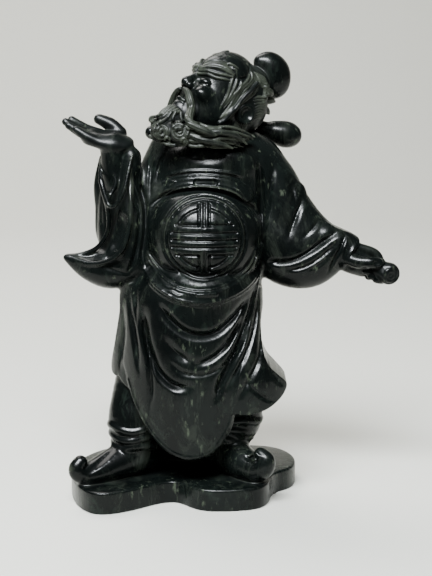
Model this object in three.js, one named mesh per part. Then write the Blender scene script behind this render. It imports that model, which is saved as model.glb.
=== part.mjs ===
// A carved dark green stone figure of a bearded warrior on a lobed plinth, all of one block.
// Millimetres, +Z up. The figure faces -Y, its raised hand is towards -X, and the origin is
// the middle of the plinth's flat underside. "Left" and "right" are the viewer's, from -Y.
// The block is described as masses of clay that are added, carved and embossed on a grid of
// distances; the grid's zero surface is then meshed and thinned to an even set of facets.
import * as THREE from "three";

// Driving sizes
const plinthThickness = 12.5;
const plinthEdgeRound = 1.3;
const gatherRadius = 2.2;
const bellyCentre = [12, -8, 149];
const bellyRadii = [33, 31, 31];
const roundelCentre = [11.7, 150.7];
const roundelRadius = 22.5;
const lineWide = 1.3;
const lineDeep = 1;
const sleeveRimRadius = 1.6;
const palmHeight = 203;
const palmSlope = 0.36;
const fingerRadius = 2.7;
const gripRadius = 6.2;
const headCentre = [19, 2, 221];
const faceTurn = 60;
const faceTilt = 39;
const knotRadius = 9.6;
const lockWide = 1.7;
const lockTall = 1.2;
const strandCount = 6;

// The finish and the fineness of the facets
const stoneColour = 0x1b241f;
const stoneRoughness = 0.28;
const cell = 1.2;
const facets = 9700;

// The block's box, the depth of distances kept round a form, and the drawing sheets' fineness
const blockLow = [-74, -56, -5.2];
const blockHigh = [132, 58, 262];
const far = 12;
const margin = 7;
const sheetStep = 0.5;

// How a stroke falls away over its half width: softly, as a flat band, or as a cut to a line
const softEdge = 1;
const flatEdge = 0.35;
const cutEdge = 0;
const cutSharpness = 1.6;

// Thinning: the least turn and size of a face, and how far the quadric's own point is trusted
const edgeShares = [0, 0.25, 0.5, 0.75, 1];
const leastTurn = 0.25;
const leastArea = 0.02;
const leastSize = 1e-2;
const spanWeight = 1e-4;
const eveningShares = [0.5, -0.52, 0.5, -0.52];
const leastCrossing = 0.02;
const undersideLevel = 0.4;

const vec = (p) => new THREE.Vector3(p[0], p[1], p[2]);
const clamp01 = (t) => Math.min(1, Math.max(0, t));
const smooth01 = (t) => {
  const c = clamp01(t);
  return c * c * (3 - 2 * c);
};

// Control rows of any width become a smooth row of values through a Catmull-Rom spline.
function smoothRows(rows, perSpan = 6, closed = false) {
  const width = rows[0].length;
  const spans = closed ? rows.length : rows.length - 1;
  const row = (i) =>
    closed
      ? rows[(i + rows.length) % rows.length]
      : rows[Math.min(rows.length - 1, Math.max(0, i))];
  const out = [];
  for (let i = 0; i < spans; i++) {
    const [a, b, c, d] = [row(i - 1), row(i), row(i + 1), row(i + 2)];
    for (let k = 0; k < perSpan; k++) {
      const t = k / perSpan;
      const mix = [];
      for (let j = 0; j < width; j++) {
        const bend = 3 * (b[j] - c[j]) + d[j] - a[j];
        const lean = 2 * a[j] - 5 * b[j] + 4 * c[j] - d[j];
        mix.push(b[j] + 0.5 * t * (c[j] - a[j] + t * (lean + t * bend)));
      }
      out.push(mix);
    }
  }
  if (!closed) out.push([...rows[rows.length - 1]]);
  return out;
}

// A turned local frame, such as the head's: forward, side and up.
class Frame {
  constructor(origin, forward, side, up) {
    this.origin = vec(origin);
    this.axes = [forward, side, up];
  }

  point(f, s, u) {
    const p = this.origin.clone();
    [f, s, u].forEach((v, i) => p.addScaledVector(this.axes[i], v));
    return p.toArray();
  }

  path(rows) {
    return rows.map(([f, s, u, r]) => [...this.point(f, s, u), r]);
  }
}

const worldFrame = new Frame(
  [0, 0, 0],
  new THREE.Vector3(1, 0, 0),
  new THREE.Vector3(0, 1, 0),
  new THREE.Vector3(0, 0, 1),
);

function frameOf(origin, turn, tilt) {
  const [a, b] = [THREE.MathUtils.degToRad(turn), THREE.MathUtils.degToRad(tilt)];
  const level = new THREE.Vector3(-Math.sin(a), -Math.cos(a), 0);
  const forward = level.clone().multiplyScalar(Math.cos(b));
  forward.z = Math.sin(b);
  const up = level.clone().multiplyScalar(-Math.sin(b));
  up.z = Math.cos(b);
  const side = new THREE.Vector3().crossVectors(up, forward);
  return new Frame(origin, forward, side, up);
}

// Each form is a box that it lies in and its distance at a point.
function blob(centre, radii, frame = worldFrame) {
  const middle = vec(frame.point(...centre));
  const reach = Math.max(...radii);
  const box = new THREE.Box3().setFromCenterAndSize(
    middle,
    new THREE.Vector3(2 * reach, 2 * reach, 2 * reach),
  );
  const [fa, sa, ua] = frame.axes;
  const [rf, rs, ru] = radii;
  const distance = (x, y, z) => {
    const [px, py, pz] = [x - middle.x, y - middle.y, z - middle.z];
    const f = (px * fa.x + py * fa.y + pz * fa.z) / rf;
    const s = (px * sa.x + py * sa.y + pz * sa.z) / rs;
    const u = (px * ua.x + py * ua.y + pz * ua.z) / ru;
    const near = Math.hypot(f, s, u);
    const slope = Math.hypot(f / rf, s / rs, u / ru);
    return slope < 1e-9 ? -Math.min(...radii) : (near * (near - 1)) / slope;
  };
  return { box, distance };
}

// A rounded tube along a smooth path of [x, y, z, radius]; flat thins it along one axis.
function limb(path, { flat = 1, across = [0, 1, 0], perSpan = 5 } = {}) {
  const rows = smoothRows(path, perSpan);
  const box = new THREE.Box3();
  rows.forEach(([x, y, z, r]) => {
    box.expandByPoint(new THREE.Vector3(x - r, y - r, z - r));
    box.expandByPoint(new THREE.Vector3(x + r, y + r, z + r));
  });
  const thin = vec(across).normalize();
  const stretch = 1 / flat - 1;
  const spans = rows.slice(1).map((b, i) => {
    const a = rows[i];
    const d = [b[0] - a[0], b[1] - a[1], b[2] - a[2]];
    return { a, d, long: Math.max(1e-9, d[0] ** 2 + d[1] ** 2 + d[2] ** 2), grow: b[3] - a[3] };
  });
  const distance = (x, y, z) => {
    let best = 1e9;
    for (const { a, d, long, grow } of spans) {
      let [px, py, pz] = [x - a[0], y - a[1], z - a[2]];
      const t = clamp01((px * d[0] + py * d[1] + pz * d[2]) / long);
      px -= t * d[0];
      py -= t * d[1];
      pz -= t * d[2];
      const more = (px * thin.x + py * thin.y + pz * thin.z) * stretch;
      const far3 = Math.hypot(px + more * thin.x, py + more * thin.y, pz + more * thin.z);
      best = Math.min(best, far3 - a[3] - t * grow);
    }
    return best * Math.sqrt(flat);
  };
  return { box, distance };
}

// A standing mass given by ellipses [z, middle x, middle y, half width, half depth].
function column(rings) {
  const rows = smoothRows(rings, 6);
  const [low, high] = [rows[0][0], rows[rows.length - 1][0]];
  const box = new THREE.Box3();
  rows.forEach(([z, cx, cy, rx, ry]) => {
    box.expandByPoint(new THREE.Vector3(cx - rx, cy - ry, z));
    box.expandByPoint(new THREE.Vector3(cx + rx, cy + ry, z));
  });
  const distance = (x, y, z) => {
    const h = Math.min(high, Math.max(low, z));
    let i = 1;
    while (i < rows.length - 1 && rows[i][0] < h) i++;
    const [a, b] = [rows[i - 1], rows[i]];
    const t = clamp01((h - a[0]) / Math.max(1e-9, b[0] - a[0]));
    const [cx, cy, rx, ry] = [1, 2, 3, 4].map((j) => a[j] + t * (b[j] - a[j]));
    const [u, v] = [(x - cx) / rx, (y - cy) / ry];
    const near = Math.hypot(u, v);
    const slope = Math.hypot(u / rx, v / ry);
    const side = slope < 1e-9 ? -Math.min(rx, ry) : (near * (near - 1)) / slope;
    return Math.max(side, low - z, z - high);
  };
  return { box, distance };
}

// Distance to a closed outline in a plane, negative inside, sampled once on a fine sheet.
function outlineDistance(outline) {
  const shape = smoothRows(outline, 5, true);
  const exact = (u, v) => {
    let best = 1e9;
    let inside = false;
    for (let i = 0, j = shape.length - 1; i < shape.length; j = i++) {
      const [ax, ay] = shape[j];
      const [bx, by] = shape[i];
      const [dx, dy] = [bx - ax, by - ay];
      const t = clamp01(((u - ax) * dx + (v - ay) * dy) / Math.max(1e-9, dx * dx + dy * dy));
      best = Math.min(best, (u - ax - t * dx) ** 2 + (v - ay - t * dy) ** 2);
      if (ay > v !== by > v && u < ax + ((v - ay) / (by - ay)) * dx) inside = !inside;
    }
    return inside ? -Math.sqrt(best) : Math.sqrt(best);
  };
  const area = new THREE.Box2().setFromPoints(shape.map(([u, v]) => new THREE.Vector2(u, v)));
  area.expandByScalar(2 * margin);
  const columns = Math.ceil((area.max.x - area.min.x) / sheetStep) + 2;
  const rows = Math.ceil((area.max.y - area.min.y) / sheetStep) + 2;
  const values = new Float32Array(columns * rows);
  for (let n = 0; n < values.length; n++) {
    const [i, j] = [n % columns, Math.floor(n / columns)];
    values[n] = exact(area.min.x + i * sheetStep, area.min.y + j * sheetStep);
  }
  return sampler(values, area, columns, rows, far);
}

// Values of a sheet between its samples, and what lies outside it.
function sampler(values, area, columns, rows, outside) {
  return (u, v) => {
    const [x, y] = [(u - area.min.x) / sheetStep, (v - area.min.y) / sheetStep];
    const [i, j] = [Math.floor(x), Math.floor(y)];
    if (i < 0 || j < 0 || i >= columns - 1 || j >= rows - 1) return outside;
    const n = j * columns + i;
    const [s, t] = [x - i, y - j];
    const low = values[n] * (1 - s) + values[n + 1] * s;
    return low * (1 - t) + (values[n + columns] * (1 - s) + values[n + columns + 1] * s) * t;
  };
}

function slab(outline, low, high, round) {
  const plan = outlineDistance(outline);
  const box = new THREE.Box3();
  outline.forEach(([x, y]) => {
    box.expandByPoint(new THREE.Vector3(x - 3, y - 3, low));
    box.expandByPoint(new THREE.Vector3(x + 3, y + 3, high));
  });
  const distance = (x, y, z) => {
    const side = plan(x, y) + round;
    const top = z - high + round;
    const rim = Math.hypot(Math.max(side, 0), Math.max(top, 0)) + Math.min(Math.max(side, top), 0);
    return Math.max(rim - round, low - z);
  };
  return { box, distance };
}

// A form cut to an outline seen in one view, and cut off behind a depth; the rim is crisp.
function trimmed(form, view, outline, deepest) {
  const inside = outlineDistance(outline);
  const distance = (x, y, z) => {
    const own = form.distance(x, y, z);
    if (own > margin) return own;
    const p = new THREE.Vector3(x, y, z).sub(view.origin);
    const depth = deepest - p.dot(view.toward);
    return Math.max(own, inside(p.dot(view.across), p.dot(view.rise)), depth);
  };
  return { box: form.box, distance };
}

// The clay itself: a grid of distances.
class Clay {
  constructor(low, high, step) {
    this.low = low;
    this.step = step;
    this.size = low.map((v, i) => Math.ceil((high[i] - v) / step) + 1);
    this.field = new Float32Array(this.size[0] * this.size[1] * this.size[2]).fill(far);
  }

  index(i, j, k) {
    return (k * this.size[1] + j) * this.size[0] + i;
  }

  each(box, visit) {
    const range = ["x", "y", "z"].map((axis, i) => [
      Math.max(0, Math.floor((box.min[axis] - margin - this.low[i]) / this.step)),
      Math.min(this.size[i] - 1, Math.ceil((box.max[axis] + margin - this.low[i]) / this.step)),
    ]);
    for (let k = range[2][0]; k <= range[2][1]; k++) {
      for (let j = range[1][0]; j <= range[1][1]; j++) {
        for (let i = range[0][0]; i <= range[0][1]; i++) {
          visit(this.index(i, j, k), ...this.place(i, j, k));
        }
      }
    }
  }

  place(i, j, k) {
    return [i, j, k].map((n, a) => this.low[a] + n * this.step);
  }

  // Joins a form on, rounding the inner corner over blend millimetres.
  add(form, blend = 1) {
    this.each(form.box, (n, x, y, z) => {
      const [a, b] = [this.field[n], form.distance(x, y, z)];
      const h = Math.max(blend - Math.abs(a - b), 0) / blend;
      this.field[n] = Math.min(a, b) - (h * h * blend) / 4;
    });
  }

  carve(form, blend = 1) {
    this.each(form.box, (n, x, y, z) => {
      const [a, b] = [this.field[n], -form.distance(x, y, z)];
      const h = Math.max(blend - Math.abs(a - b), 0) / blend;
      this.field[n] = Math.max(a, b) + (h * h * blend) / 4;
    });
  }

  // The way out of the clay at a grid point.
  slopeAt(n) {
    const [sx, sy] = this.size;
    return [1, sx, sx * sy].map((hop) => this.field[n + hop] - this.field[n - hop]);
  }
}

// Heights on a flat sheet, from strokes of [across, up, half width, height]. The edge is the
// share of the half width over which a stroke falls away, or none for a cut to a line.
function sheetOf(strokes, edge) {
  const paths = strokes.map((stroke) => smoothRows(stroke, 5));
  const area = new THREE.Box2();
  for (const [u, v, wide] of paths.flat()) {
    area.expandByPoint(new THREE.Vector2(u - wide - sheetStep, v - wide - sheetStep));
    area.expandByPoint(new THREE.Vector2(u + wide + sheetStep, v + wide + sheetStep));
  }
  const columns = Math.ceil((area.max.x - area.min.x) / sheetStep) + 2;
  const rows = Math.ceil((area.max.y - area.min.y) / sheetStep) + 2;
  const heights = new Float32Array(columns * rows);
  const spot = (value, low) => Math.floor((value - low) / sheetStep);
  const fallAt = (share) =>
    edge === cutEdge ? clamp01(1 - share) ** cutSharpness : 1 - smooth01((share - 1 + edge) / edge);
  for (const path of paths) {
    const own = new Map();
    for (let n = 1; n < path.length; n++) {
      const [au, av, aw, ah] = path[n - 1];
      const [bu, bv, bw, bh] = path[n];
      const reach = Math.max(aw, bw);
      const long = Math.max(1e-9, (bu - au) ** 2 + (bv - av) ** 2);
      const rowEnd = Math.min(rows - 1, spot(Math.max(av, bv) + reach, area.min.y) + 1);
      const columnEnd = Math.min(columns - 1, spot(Math.max(au, bu) + reach, area.min.x) + 1);
      for (let j = Math.max(0, spot(Math.min(av, bv) - reach, area.min.y)); j <= rowEnd; j++) {
        for (let i = Math.max(0, spot(Math.min(au, bu) - reach, area.min.x)); i <= columnEnd; i++) {
          const [u, v] = [area.min.x + i * sheetStep, area.min.y + j * sheetStep];
          const t = clamp01(((u - au) * (bu - au) + (v - av) * (bv - av)) / long);
          const off = Math.hypot(u - au - t * (bu - au), v - av - t * (bv - av));
          const share = off / Math.max(0.1, aw + t * (bw - aw));
          const height = (ah + t * (bh - ah)) * fallAt(share);
          const key = j * columns + i;
          if (Math.abs(height) > Math.abs(own.get(key) ?? 0)) own.set(key, height);
        }
      }
    }
    for (const [key, height] of own) heights[key] += height;
  }
  const at = sampler(heights, area, columns, rows, 0);
  return { area, at };
}

// One way of looking at the block; toward points at the eye, and depth is measured along it.
function viewOf(right, up, low, high, frame = worldFrame) {
  const turn = (p) => vec(frame.point(...p)).sub(frame.origin);
  const [across, rise] = [turn(right), turn(up)];
  return { origin: frame.origin, across, rise, toward: across.clone().cross(rise), low, high };
}

// Draws relief on the surfaces that face the eye, fading out where they turn away from it.
function drawOn(clay, view, strokes, edge = softEdge) {
  const sheet = sheetOf(strokes, edge);
  const box = new THREE.Box3();
  for (const u of [sheet.area.min.x, sheet.area.max.x]) {
    for (const v of [sheet.area.min.y, sheet.area.max.y]) {
      for (const w of [view.low, view.high]) {
        const p = view.origin.clone().addScaledVector(view.across, u);
        box.expandByPoint(p.addScaledVector(view.rise, v).addScaledVector(view.toward, w));
      }
    }
  }
  box.expandByScalar(-margin);
  const changes = [];
  const { across, rise, toward, origin } = view;
  clay.each(box, (n, x, y, z) => {
    const [px, py, pz] = [x - origin.x, y - origin.y, z - origin.z];
    const depth = px * toward.x + py * toward.y + pz * toward.z;
    if (depth < view.low || depth > view.high || Math.abs(clay.field[n]) > far / 2) return;
    const u = px * across.x + py * across.y + pz * across.z;
    const height = sheet.at(u, px * rise.x + py * rise.y + pz * rise.z);
    if (!height) return;
    const out = clay.slopeAt(n);
    const facing = (out[0] * toward.x + out[1] * toward.y + out[2] * toward.z) / Math.hypot(...out);
    changes.push(n, height * smooth01(3 * facing - 0.3));
  });
  for (let i = 0; i < changes.length; i += 2) clay.field[changes[i]] -= changes[i + 1];
}

const front = viewOf([1, 0, 0], [0, 0, 1], 6, 62);
const back = viewOf([-1, 0, 0], [0, 0, 1], 6, 62);

// Strokes of relief, from points [across, up]: a cut or a rib that starts and ends at nothing,
// and a band that keeps half its height at its ends.
const groove = (rows, wide, deep) =>
  rows.map(([u, v], i) => [u, v, wide, i % (rows.length - 1) ? -deep : 0]);
const ridge = (rows, wide, tall) => groove(rows, wide, -tall);
const band = (rows, wide, tall) =>
  rows.map(([u, v], i) => [u, v, wide, i % (rows.length - 1) ? tall : tall / 2]);

// A path moved sideways, to its left as it is drawn.
function beside(rows, offset) {
  return rows.map(([u, v], i) => {
    const before = rows[Math.max(0, i - 1)];
    const after = rows[Math.min(rows.length - 1, i + 1)];
    const [du, dv] = [after[0] - before[0], after[1] - before[1]];
    const long = Math.hypot(du, dv);
    return [u - (offset * dv) / long, v + (offset * du) / long];
  });
}

function arc([u, v], radius, from, to) {
  const steps = Math.max(4, Math.round(Math.abs(to - from) / 15));
  const rows = [];
  for (let i = 0; i <= steps; i++) {
    const a = THREE.MathUtils.degToRad(from + ((to - from) * i) / steps);
    rows.push([u + radius * Math.cos(a), v + radius * Math.sin(a)]);
  }
  return rows;
}

// Paths spread evenly from one to another of as many points.
function fanned(first, last, count) {
  const paths = [];
  for (let k = 0; k < count; k++) {
    const t = k / (count - 1);
    paths.push(first.map((row, i) => row.map((v, j) => v + t * (last[i][j] - v))));
  }
  return paths;
}

// A level closed loop with a little sag, for a gathered fold round a leg.
function ring([x, y, z], radius, thick, sag = 1.1) {
  const rows = [];
  for (let i = 0; i <= 12; i++) {
    const a = (i / 12) * 2 * Math.PI;
    const rise = sag * Math.sin(3 * a + z);
    rows.push([x + radius * Math.cos(a), y + radius * Math.sin(a), z + rise, thick]);
  }
  return rows;
}

// A curl of hair that faces the front and winds inwards.
function curl([x, y, z], radius, thick) {
  const rows = [];
  for (let i = 0; i <= 16; i++) {
    const a = (i / 16) * 4 * Math.PI;
    const r = radius * (1 - 0.05 * i);
    rows.push([x + r * Math.cos(a), y, z + r * Math.sin(a), thick]);
  }
  return rows;
}

function plinth(clay) {
  const outline = [
    [-5, -25.5], [0, -29], [4.5, -34.5], [11, -39], [20, -40.3], [33, -39], [42, -35], [47, -27],
    [49.5, -15], [53, -8], [60, -1], [64, 9], [64, 22], [59.5, 34], [51, 42], [38, 45], [22, 45],
    [8, 39], [-6, 40], [-20, 44.5], [-36, 44], [-49, 37], [-58, 25], [-64, 10], [-65, -4],
    [-62.5, -20], [-57.5, -34], [-50, -43.5], [-41, -45], [-30, -40], [-17, -30], [-11, -26.3],
  ];
  clay.add(slab(outline, 0, plinthThickness, plinthEdgeRound));
}

// Baggy trousers gathered in soft rings above boots whose toes curl up.
function legs(clay) {
  clay.add(limb([[-18, 2, 74, 19], [-25, -3, 54, 16.5], [-28.5, -8, 42, 14.5], [-28, -9, 31, 12]]), 3);
  clay.add(limb([[24, 4, 72, 17], [29, 0, 54, 14.5], [30.5, -2, 43, 13.5], [26.5, -3, 33, 11]]), 3);
  const gathers = [
    [-28.5, -8.5, 41, 14], [-28.3, -8.5, 35.5, 13.5], [-28, -9, 30.5, 12.5],
    [30.5, -2.5, 43.5, 13.2], [28.5, -3, 38, 12], [26, -3.5, 32.5, 10.2],
  ];
  for (const [x, y, z, radius] of gathers) clay.add(limb(ring([x, y, z], radius - 1.2, gatherRadius)), 1);
  const boots = [
    {
      foot: [
        [-18, 0, 19.5, 8], [-27, -9, 23, 10.5], [-37, -16, 20.8, 9.8], [-46, -22.5, 18, 8.6],
        [-53, -27, 16.8, 7],
      ],
      toe: [[-52, -26.5, 16.8, 6.6], [-57.4, -30, 18.6, 5.4], [-59, -31, 22, 4.6], [-57, -30, 25.2, 3.9]],
    },
    {
      foot: [
        [18, 4, 19.5, 8], [25, -4, 23, 10.5], [31, -13, 21, 10], [36, -19.5, 19.6, 9],
        [40, -24, 19, 7.6],
      ],
      toe: [[39, -23.5, 19, 7.6], [44, -27.5, 21.4, 6.4], [45.6, -28.5, 25.6, 5.2], [43, -27, 28.6, 4.2]],
    },
  ];
  for (const { foot, toe } of boots) {
    clay.add(limb(foot), 2);
    clay.add(limb(toe), 0.8);
    const [x, y, z] = toe[toe.length - 1];
    clay.carve(blob([x - 3.2, y + 0.5, z - 3], [2.6, 4, 2.2]), 1.2);
  }
}

function torso(clay) {
  clay.add(column([
    [14, 2, 22, 27, 13], [20, 2, 21, 29, 13], [30, 2, 20, 31, 13], [46, 2, 15, 36, 17],
    [60, 2, 10, 36, 22], [80, 3, 8, 37, 24], [100, 4, 6, 38, 26], [120, 6, 6, 38, 28],
    [140, 11, 5, 33, 28], [160, 13, 5, 33, 27], [178, 16, 5, 34, 25], [190, 18, 6, 36, 21],
    [198, 20, 8, 30, 17], [206, 22, 9, 16, 12],
  ]), 3);
  clay.add(blob(bellyCentre, bellyRadii), 4);
  clay.add(blob([16, -6, 189], [28, 15, 13]), 5);
  clay.carve(blob([13, -28, 194], [16, 9, 7]), 2.5);
}

// The coat below the belt, layer over layer; each is cut to its hem as seen from the front.
function skirts(clay) {
  const layer = (shape, outline, deepest) => trimmed(column(shape), front, outline, deepest);
  clay.add(layer(
    [[50, -12, 2, 31, 24], [90, -11, 2, 30, 25], [124, -10, 2, 28, 25]],
    [
      [-8, 122], [-33, 121], [-36, 105], [-39, 88], [-41.5, 74], [-39.5, 69.5], [-34, 71],
      [-25, 76], [-12, 72], [-4, 90],
    ],
    -26,
  ), 1);
  clay.add(layer(
    [[50, -10, -3, 29, 23], [70, -10, -3, 29, 23], [92, -10, -3, 28, 23]],
    [
      [-36, 84], [-29.5, 86], [-22, 78], [-16, 66], [-18.5, 57], [-24, 60], [-32.5, 66],
      [-36.5, 71],
    ],
    -4,
  ), 1);
  clay.add(layer(
    [[45, 24, -4, 35, 25], [70, 25, -4, 36, 27], [90, 22, -2, 25, 28], [122, 18, 0, 26, 27]],
    [
      [20, 121], [43.6, 119], [43, 101], [44, 87], [47, 78.5], [52, 73], [57.5, 67],
      [56, 61.5], [51, 56.5], [44, 53], [36, 51.5], [28, 52.5], [16, 56], [12, 80],
    ],
    -22,
  ), 1);
  clay.add(layer(
    [
      [22, 4, 0, 42, 31], [50, 3, -1, 40, 34], [80, 3, -2, 40, 35.5], [105, 4, -3, 40, 35.5],
      [121, 7, -4, 38, 34.5], [131, 10, -2, 33, 30.5], [141, 11, 0, 27, 23],
    ],
    [
      [9, 150], [-30, 146], [-36, 122], [-36, 105], [-35, 88], [-31.5, 72], [-27, 57], [-19, 42],
      [-11, 32.5], [-2, 28], [6, 27], [14, 29], [21, 35], [27, 45], [29.5, 58], [33, 75],
      [36, 92], [39, 110], [42, 146],
    ],
    4,
  ), 1.2);
}

// Two belts over and under the belly.
function belts(clay) {
  const upper = [
    [-21, 163.5], [-16, 169.5], [-10.5, 175], [-4, 178.3], [2.5, 179.8], [9.5, 180.3],
    [17.5, 180], [25, 178.5], [30.5, 176], [35, 172],
  ];
  const lower = [
    [-24, 139], [-19, 132.7], [-13, 127], [-5, 122.6], [2, 120.6], [9.5, 119.7], [19, 120.5],
    [29, 123.8], [36.5, 128.6], [41, 134.5], [43.5, 141.5],
  ];
  const under = [
    [-21, 160], [-17.2, 166.6], [-11.8, 170.9], [-5.4, 173.5], [1.5, 175.1], [9.5, 175.7],
    [17.5, 174.9], [25.4, 172.5], [32.4, 168.7], [38.8, 163.4], [42, 156],
  ];
  drawOn(clay, front, [groove(under, 2.4, 2.6)]);
  drawOn(clay, front, [band(upper, 4.1, 2), band(lower, 5.4, 2.2)], flatEdge);
  drawOn(clay, front, [
    band(beside(upper, 2.5), lineWide, -lineDeep), band(beside(upper, -2.2), lineWide, -lineDeep),
    band(beside(lower, 3.2), lineWide, -lineDeep), band(beside(lower, -3.4), lineWide, -lineDeep),
  ]);
}

// A double ring on the belly with a plain fret of bars and uprights in it.
function roundel(clay) {
  const cut = (rows) => rows.map(([u, v]) => [u, v, lineWide, -lineDeep]);
  const placed = (rows) => rows.map(([u, v]) => [
    roundelCentre[0] + u * roundelRadius,
    roundelCentre[1] + v * roundelRadius,
  ]);
  const fret = [1, 0.87].map((share) => cut(arc(roundelCentre, roundelRadius * share, 0, 360)));
  for (const v of [-0.2, -0.03, 0.14]) fret.push(cut(placed([[-0.76, v], [0.76, v]])));
  for (const s of [-1, 1]) {
    for (const up of [-1, 1]) {
      const level = -0.03 + 0.36 * up;
      fret.push(cut(placed([[0.14 * s, level], [0.66 * s, level]])));
      fret.push(cut(placed([[0.14 * s, level], [0.14 * s, 0.78 * up]])));
    }
  }
  drawOn(clay, front, fret);
}

// The raised forearm stands out of a wide sleeve that has slid down and opens like a trough,
// with the rims of its cloth along the opening.
function raisedSleeve(clay) {
  clay.add(limb([[-4, 6, 190, 17], [-14, 3, 172, 15], [-20, -1, 152, 14], [-24, -4, 138, 13]]), 4);
  clay.add(limb([
    [-28, -6, 133.5, 12], [-40, -8, 130.5, 11.5], [-50, -10, 131.5, 8.5], [-58, -11, 134, 5],
    [-64.5, -12, 137, 1.8],
  ]), 3);
  clay.add(limb([[-36, 0, 188, 8], [-37, 0, 170, 10], [-38, -1, 152, 10], [-37, -3, 140, 10]]), 3);
  clay.add(limb([
    [-43.5, 3, 190, 3.5], [-46, 4, 176, 4.2], [-45.5, 4, 162, 4.2], [-45, 3, 150, 4.6],
    [-42.5, 1, 143, 4.5],
  ]), 1.2);
  clay.add(limb([
    [-28.5, -6, 192, 5.5], [-29.5, -9, 172, 7], [-29, -11, 155, 8.5], [-32, -11, 140, 9.5],
  ]), 3);
  clay.carve(limb([
    [-35, -21, 163, 3.4], [-34.8, -20.5, 156, 5.2], [-38.5, -19.5, 147, 5.4], [-46, -18, 142, 4],
    [-57, -14.5, 139.6, 1.8],
  ]), 1);
  clay.carve(limb([[-36.5, -18, 188, 4], [-35.5, -20.5, 179, 4.4], [-37.5, -20, 171, 2.6]]), 1);
  const rims = [
    [
      [-27.5, -13, 194], [-29, -15, 187], [-30.3, -17, 181], [-31.5, -18.5, 175.9],
      [-34.2, -19.5, 169.8], [-37.8, -19, 166], [-40.6, -17, 167.2], [-42.9, -15, 172.8],
      [-44.3, -13, 177.9], [-45.5, -9, 183.8], [-46.2, -5, 188.8],
    ],
    [
      [-44.9, -12, 179.6], [-42.8, -14, 172.6], [-41.3, -15, 165.4], [-40.6, -15, 157.2],
      [-41.8, -14.5, 150.7], [-46.8, -14, 143.4], [-53.8, -13, 139.6], [-62.6, -12, 137.6],
    ],
    [
      [-27.1, -17, 182], [-28, -19, 171.5], [-28.4, -20.5, 160.9], [-29.9, -21.5, 151.2],
      [-33.5, -22, 142.3], [-40.8, -21, 136.7], [-49.9, -18.5, 134.8], [-57.8, -15, 136],
      [-63.4, -12, 137.4],
    ],
  ];
  for (const rim of rims) clay.add(limb(rim.map((point) => [...point, sleeveRimRadius])), 0.7);
  clay.add(limb([[-37.5, -5, 178, 6.6], [-38.2, -5, 190, 7], [-38.5, -5, 198, 7.3]]), 1);
}

// The palm is turned up and the fingers lie side by side towards the left.
function openHand(clay) {
  const lift = (x, y, z, r) => [x, y, z + palmSlope * (y + 5), r];
  const palm = [
    lift(-34.5, -5, palmHeight - 3.5, 7.5), lift(-41, -5, palmHeight - 2, 8.8),
    lift(-48, -5, palmHeight - 0.5, 8),
  ];
  clay.add(limb(palm, { flat: 0.5, across: [0, -palmSlope, 1] }), 2.5);
  const fingers = [[-10, 58, 5.6], [-6.4, 62.5, 6.6], [-2.8, 64.5, 7.2], [0.9, 61.5, 7]];
  for (const [y, reach, tip] of fingers) {
    clay.add(limb([
      lift(-46, y, palmHeight - 0.8, 2.8), lift(-(reach + 46) / 2, y, palmHeight + 1.8, 2.8),
      lift(-reach, y * 0.9 - 0.4, palmHeight + tip, 2.1),
    ]), 0.6);
  }
  clay.add(limb([[-35, 2, 204.5, 3.8], [-40.5, 4, 209, 3.9], [-46.8, 4.5, 212, 2.9]]), 1.5);
  clay.carve(blob([-43, -5, palmHeight + 4.5], [6, 4.5, 2.6]), 2);
}

// A full sleeve that hangs below the forearm and closes in a banded cuff.
function loweredSleeve(clay) {
  clay.add(limb([
    [38, 8, 187, 16], [47, 6, 177, 16], [56, 3, 163, 15], [68, 0, 151, 12.5], [80, -3, 141.5, 11],
  ]), 4);
  const hang = [[50, 1, 150, 20], [58, 0, 142, 22], [67, -2, 138, 20], [76, -4, 137, 14]];
  clay.add(limb(hang, { flat: 0.7 }), 4);
  clay.add(limb([[60, -1, 170, 4.5], [62.5, -1, 173, 4.8], [64.5, -1, 172, 3.5]]), 2);
  const cuff = limb([[78, -3.5, 146, 11.2], [86, -4.6, 142.2, 10.6], [97, -6.5, 135.6, 9.8]]);
  const end = [[70, 160], [84, 153.5], [97.4, 147], [92, 138.5], [87, 129.2], [78, 127], [66, 138]];
  clay.add(trimmed(cuff, front, end, -30), 0.6);
  drawOn(clay, front, [groove([[90, 152], [86.6, 143], [82.6, 134.9], [79, 127]], 1.6, 1.8)], cutEdge);
}

// A fist closed round a short broken grip, its thumb laid along the near side.
function fist(clay) {
  const hand = [[86, -4.5, 140, 8.6], [93, -5.5, 136.6, 9.2], [100, -5.5, 133.6, 8.4]];
  clay.add(limb(hand, { flat: 0.9 }), 1.2);
  clay.add(limb([[102, -6, 131.6, 5], [108.5, -11, 129.8, 5.4], [113.2, -13.6, 128.4, gripRadius]]), 0.6);
  clay.add(blob([109.6, -12.4, 131.6], [2.6, 4.6, 5.2]), 0.5);
  for (let i = 0; i < 4; i++) {
    const bend = [
      [94, 142.6 - i], [101, 141 - i], [106.2, 138.6 - i], [108.6, 134.2], [107.6, 129.4],
      [103, 126.6],
    ];
    clay.add(limb(bend.map(([x, z]) => [x, -9.6 + 5 * i, z, fingerRadius])), 0.5);
  }
  for (const [x, z] of [[101.2, 129.6], [104, 126.8], [107, 124.9]]) {
    const tip = [[x + 4.6, -8, z - 0.6, 2.4], [x + 2.4, -12.4, z - 0.4, 2.3], [x - 0.6, -13.4, z, 2]];
    clay.add(limb(tip), 0.4);
  }
  clay.add(limb([
    [90, -11, 136.4, 4], [96.6, -15, 135, 3.8], [102.4, -16.6, 134.9, 3.5], [107, -16.4, 134.8, 2.9],
  ]), 0.6);
}

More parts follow.
